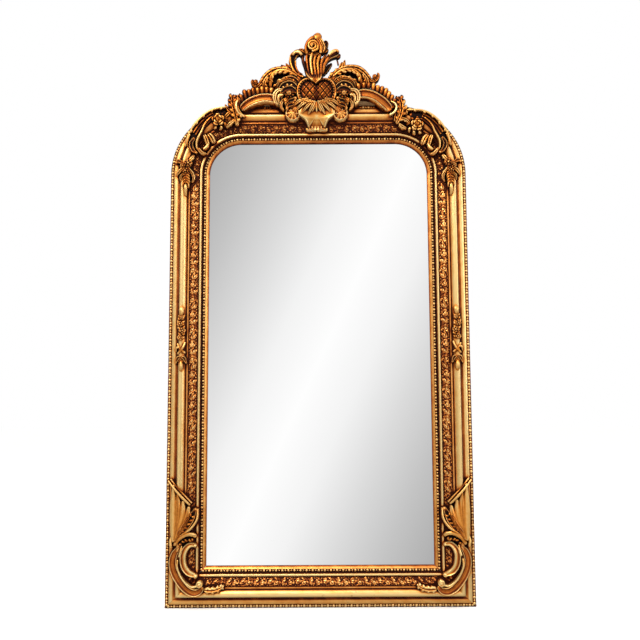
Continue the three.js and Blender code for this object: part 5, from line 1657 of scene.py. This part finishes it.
def give_relief():
    """Writes on each carving how far each point stands above or below what is around it: a tone of painted
    shade in the hollows and painted highlight on what stands out, partly also patina.
    """
    depth = depth_map()
    covered = (depth > 0).astype(float)
    means = []
    for reach, _ in AVERAGES:
        weight = np.maximum(gaussian(covered, reach), 1e-3)
        means.append(gaussian(depth, reach) / weight)
    for obj, part in carvings:
        x, z = part.points[:, 0], part.points[:, 2]
        i = np.clip((x - GRID_X[0]) / CELL, 0, len(GRID_X) - 2)
        k = np.clip((z - GRID_Z[0]) / CELL, 0, len(GRID_Z) - 2)
        i0, k0 = i.astype(int), k.astype(int)
        right, up = i - i0, k - k0
        own = BACK_Y - part.points[:, 1]
        stands = 0.5 + part.tone
        for mean, (_, share) in zip(means, AVERAGES):
            around = (
                mean[i0, k0] * (1 - right) * (1 - up)
                + mean[i0 + 1, k0] * right * (1 - up)
                + mean[i0, k0 + 1] * (1 - right) * up
                + mean[i0 + 1, k0 + 1] * right * up
            )
            stands += share * (own - around)
        value = np.clip(stands, 0, 1)
        layer = obj.data.attributes.new("relief", "FLOAT", "POINT")
        layer.data.foreach_set("value", value.astype(np.float32))


give_relief()

# ---------------------------------------------------------------- stage, light and camera

FLOOR_REACH = 40.0
FLOOR_GLOW = 0.3
LIGHT_LEVEL = 0.8
# The bright band in the glass: how far it leans, and how far it lies from the middle of the view.
BAND_LEAN, BAND_SHIFT = 0.468, 0.031

floor_mesh = bpy.data.meshes.new("floor")
floor_corners = [(x * FLOOR_REACH, y * FLOOR_REACH, 0) for x, y in ((-1, -1), (1, -1), (1, 1), (-1, 1))]
floor_mesh.from_pydata(floor_corners, [], [(0, 1, 2, 3)])
floor = bpy.data.objects.new("floor", floor_mesh)
bpy.context.scene.collection.objects.link(floor)
floor.visible_glossy = False
floor_material, n = new_material("floor")
seen = n.add("LightPath").out("Is Camera Ray")
plain = n.add("BsdfDiffuse", None, {"Color": rgb("F2F2F0")}).out()
glow = n.add("Emission", None, {"Color": rgb("FFFFFF"), "Strength": seen * FLOOR_GLOW}).out()
n.add("OutputMaterial", None, {"Surface": n.add("AddShader", None, {0: plain, 1: glow}).out()})
floor_mesh.materials.append(floor_material)


def grey(level):
    """A grey by its level, from 0 to 255."""
    return rgb(f"{level:02X}" * 3)


world = bpy.data.worlds.new("studio")
bpy.context.scene.world = world
n = Nodes(world)
path = n.add("LightPath")
split = n.add("SeparateXYZ", None, {0: n.add("TexCoord").out("Generated")})
across = abs(split.out("X") - split.out("Z") * BAND_LEAN + BAND_SHIFT)
BAND = ((0.0, 255), (0.06, 244), (0.12, 220), (0.18, 196), (0.24, 173), (0.6, 140))
card = n.ramp(across, *((stop, grey(level)) for stop, level in BAND))
high = split.out("Z").between(0.30, 0.85)
studio = n.mix(high, card, rgb("FFFFFF"))
low = (0 - split.out("Z")).between(0.25, 0.8)
studio = n.mix(low * 0.6, studio, grey(120))
shown = n.mix(path.out("Is Camera Ray"), studio, rgb("FFFFFF"))
reflected = path.out("Is Glossy Ray").or_more(path.out("Is Camera Ray"))
reflected = reflected.or_more(path.out("Is Transmission Ray"))
seen_world = n.add("Background", None, {"Color": shown, "Strength": 1.0}).out()
lighting = n.add("Background", None, {"Color": rgb("FFFFFF"), "Strength": LIGHT_LEVEL}).out()
sky = n.add("MixShader", None, {0: reflected, 1: lighting, 2: seen_world}).out()
n.add("OutputWorld", None, {"Surface": sky})


def softbox(name, place, aim, size, power, colour):
    """A rectangular lamp at a place in metres, turned to its aim."""
    light = bpy.data.lights.new(name, "AREA")
    light.shape = "RECTANGLE"
    light.size, light.size_y = size
    light.energy = power
    light.color = rgb(colour)[:3]
    lamp = bpy.data.objects.new(name, light)
    bpy.context.scene.collection.objects.link(lamp)
    lamp.location = place
    direction = np.array(aim, float) - np.array(place, float)
    yaw = math.atan2(direction[0], -direction[1])
    pitch = math.atan2(np.hypot(direction[0], direction[1]), -direction[2])
    lamp.rotation_euler = (pitch, 0, math.pi + yaw)
    lamp.visible_camera = False


softbox("key_light", (-1.2, -2.6, 3.6), (0, 0, 1.2), (1.6, 1.6), 90, "FFF7EA")
softbox("fill_light", (2.6, -2.2, 1.8), (0, 0, 1.0), (1.2, 2.2), 30, "F2F6FF")
softbox("back_light", (0.6, 3.4, 3.2), (0, 0, 1.0), (2.4, 1.6), 60, "FFFFFF")

LENS, SENSOR = 47.54, 36.0
CAMERA_AT = (0.0033, -3.0093, 0.6573)
PITCH, ROLL = 6.399, -0.29
camera_data = bpy.data.cameras.new("camera")
camera_data.lens = LENS
camera_data.sensor_width = SENSOR
camera = bpy.data.objects.new("camera", camera_data)
bpy.context.scene.collection.objects.link(camera)
camera.location = CAMERA_AT
camera.rotation_mode = "QUATERNION"
upright = Quaternion((1, 0, 0), math.radians(90 + PITCH))
camera.rotation_quaternion = upright @ Quaternion((0, 0, 1), math.radians(ROLL))
bpy.context.scene.camera = camera
bpy.context.scene.view_settings.view_transform = "Standard"
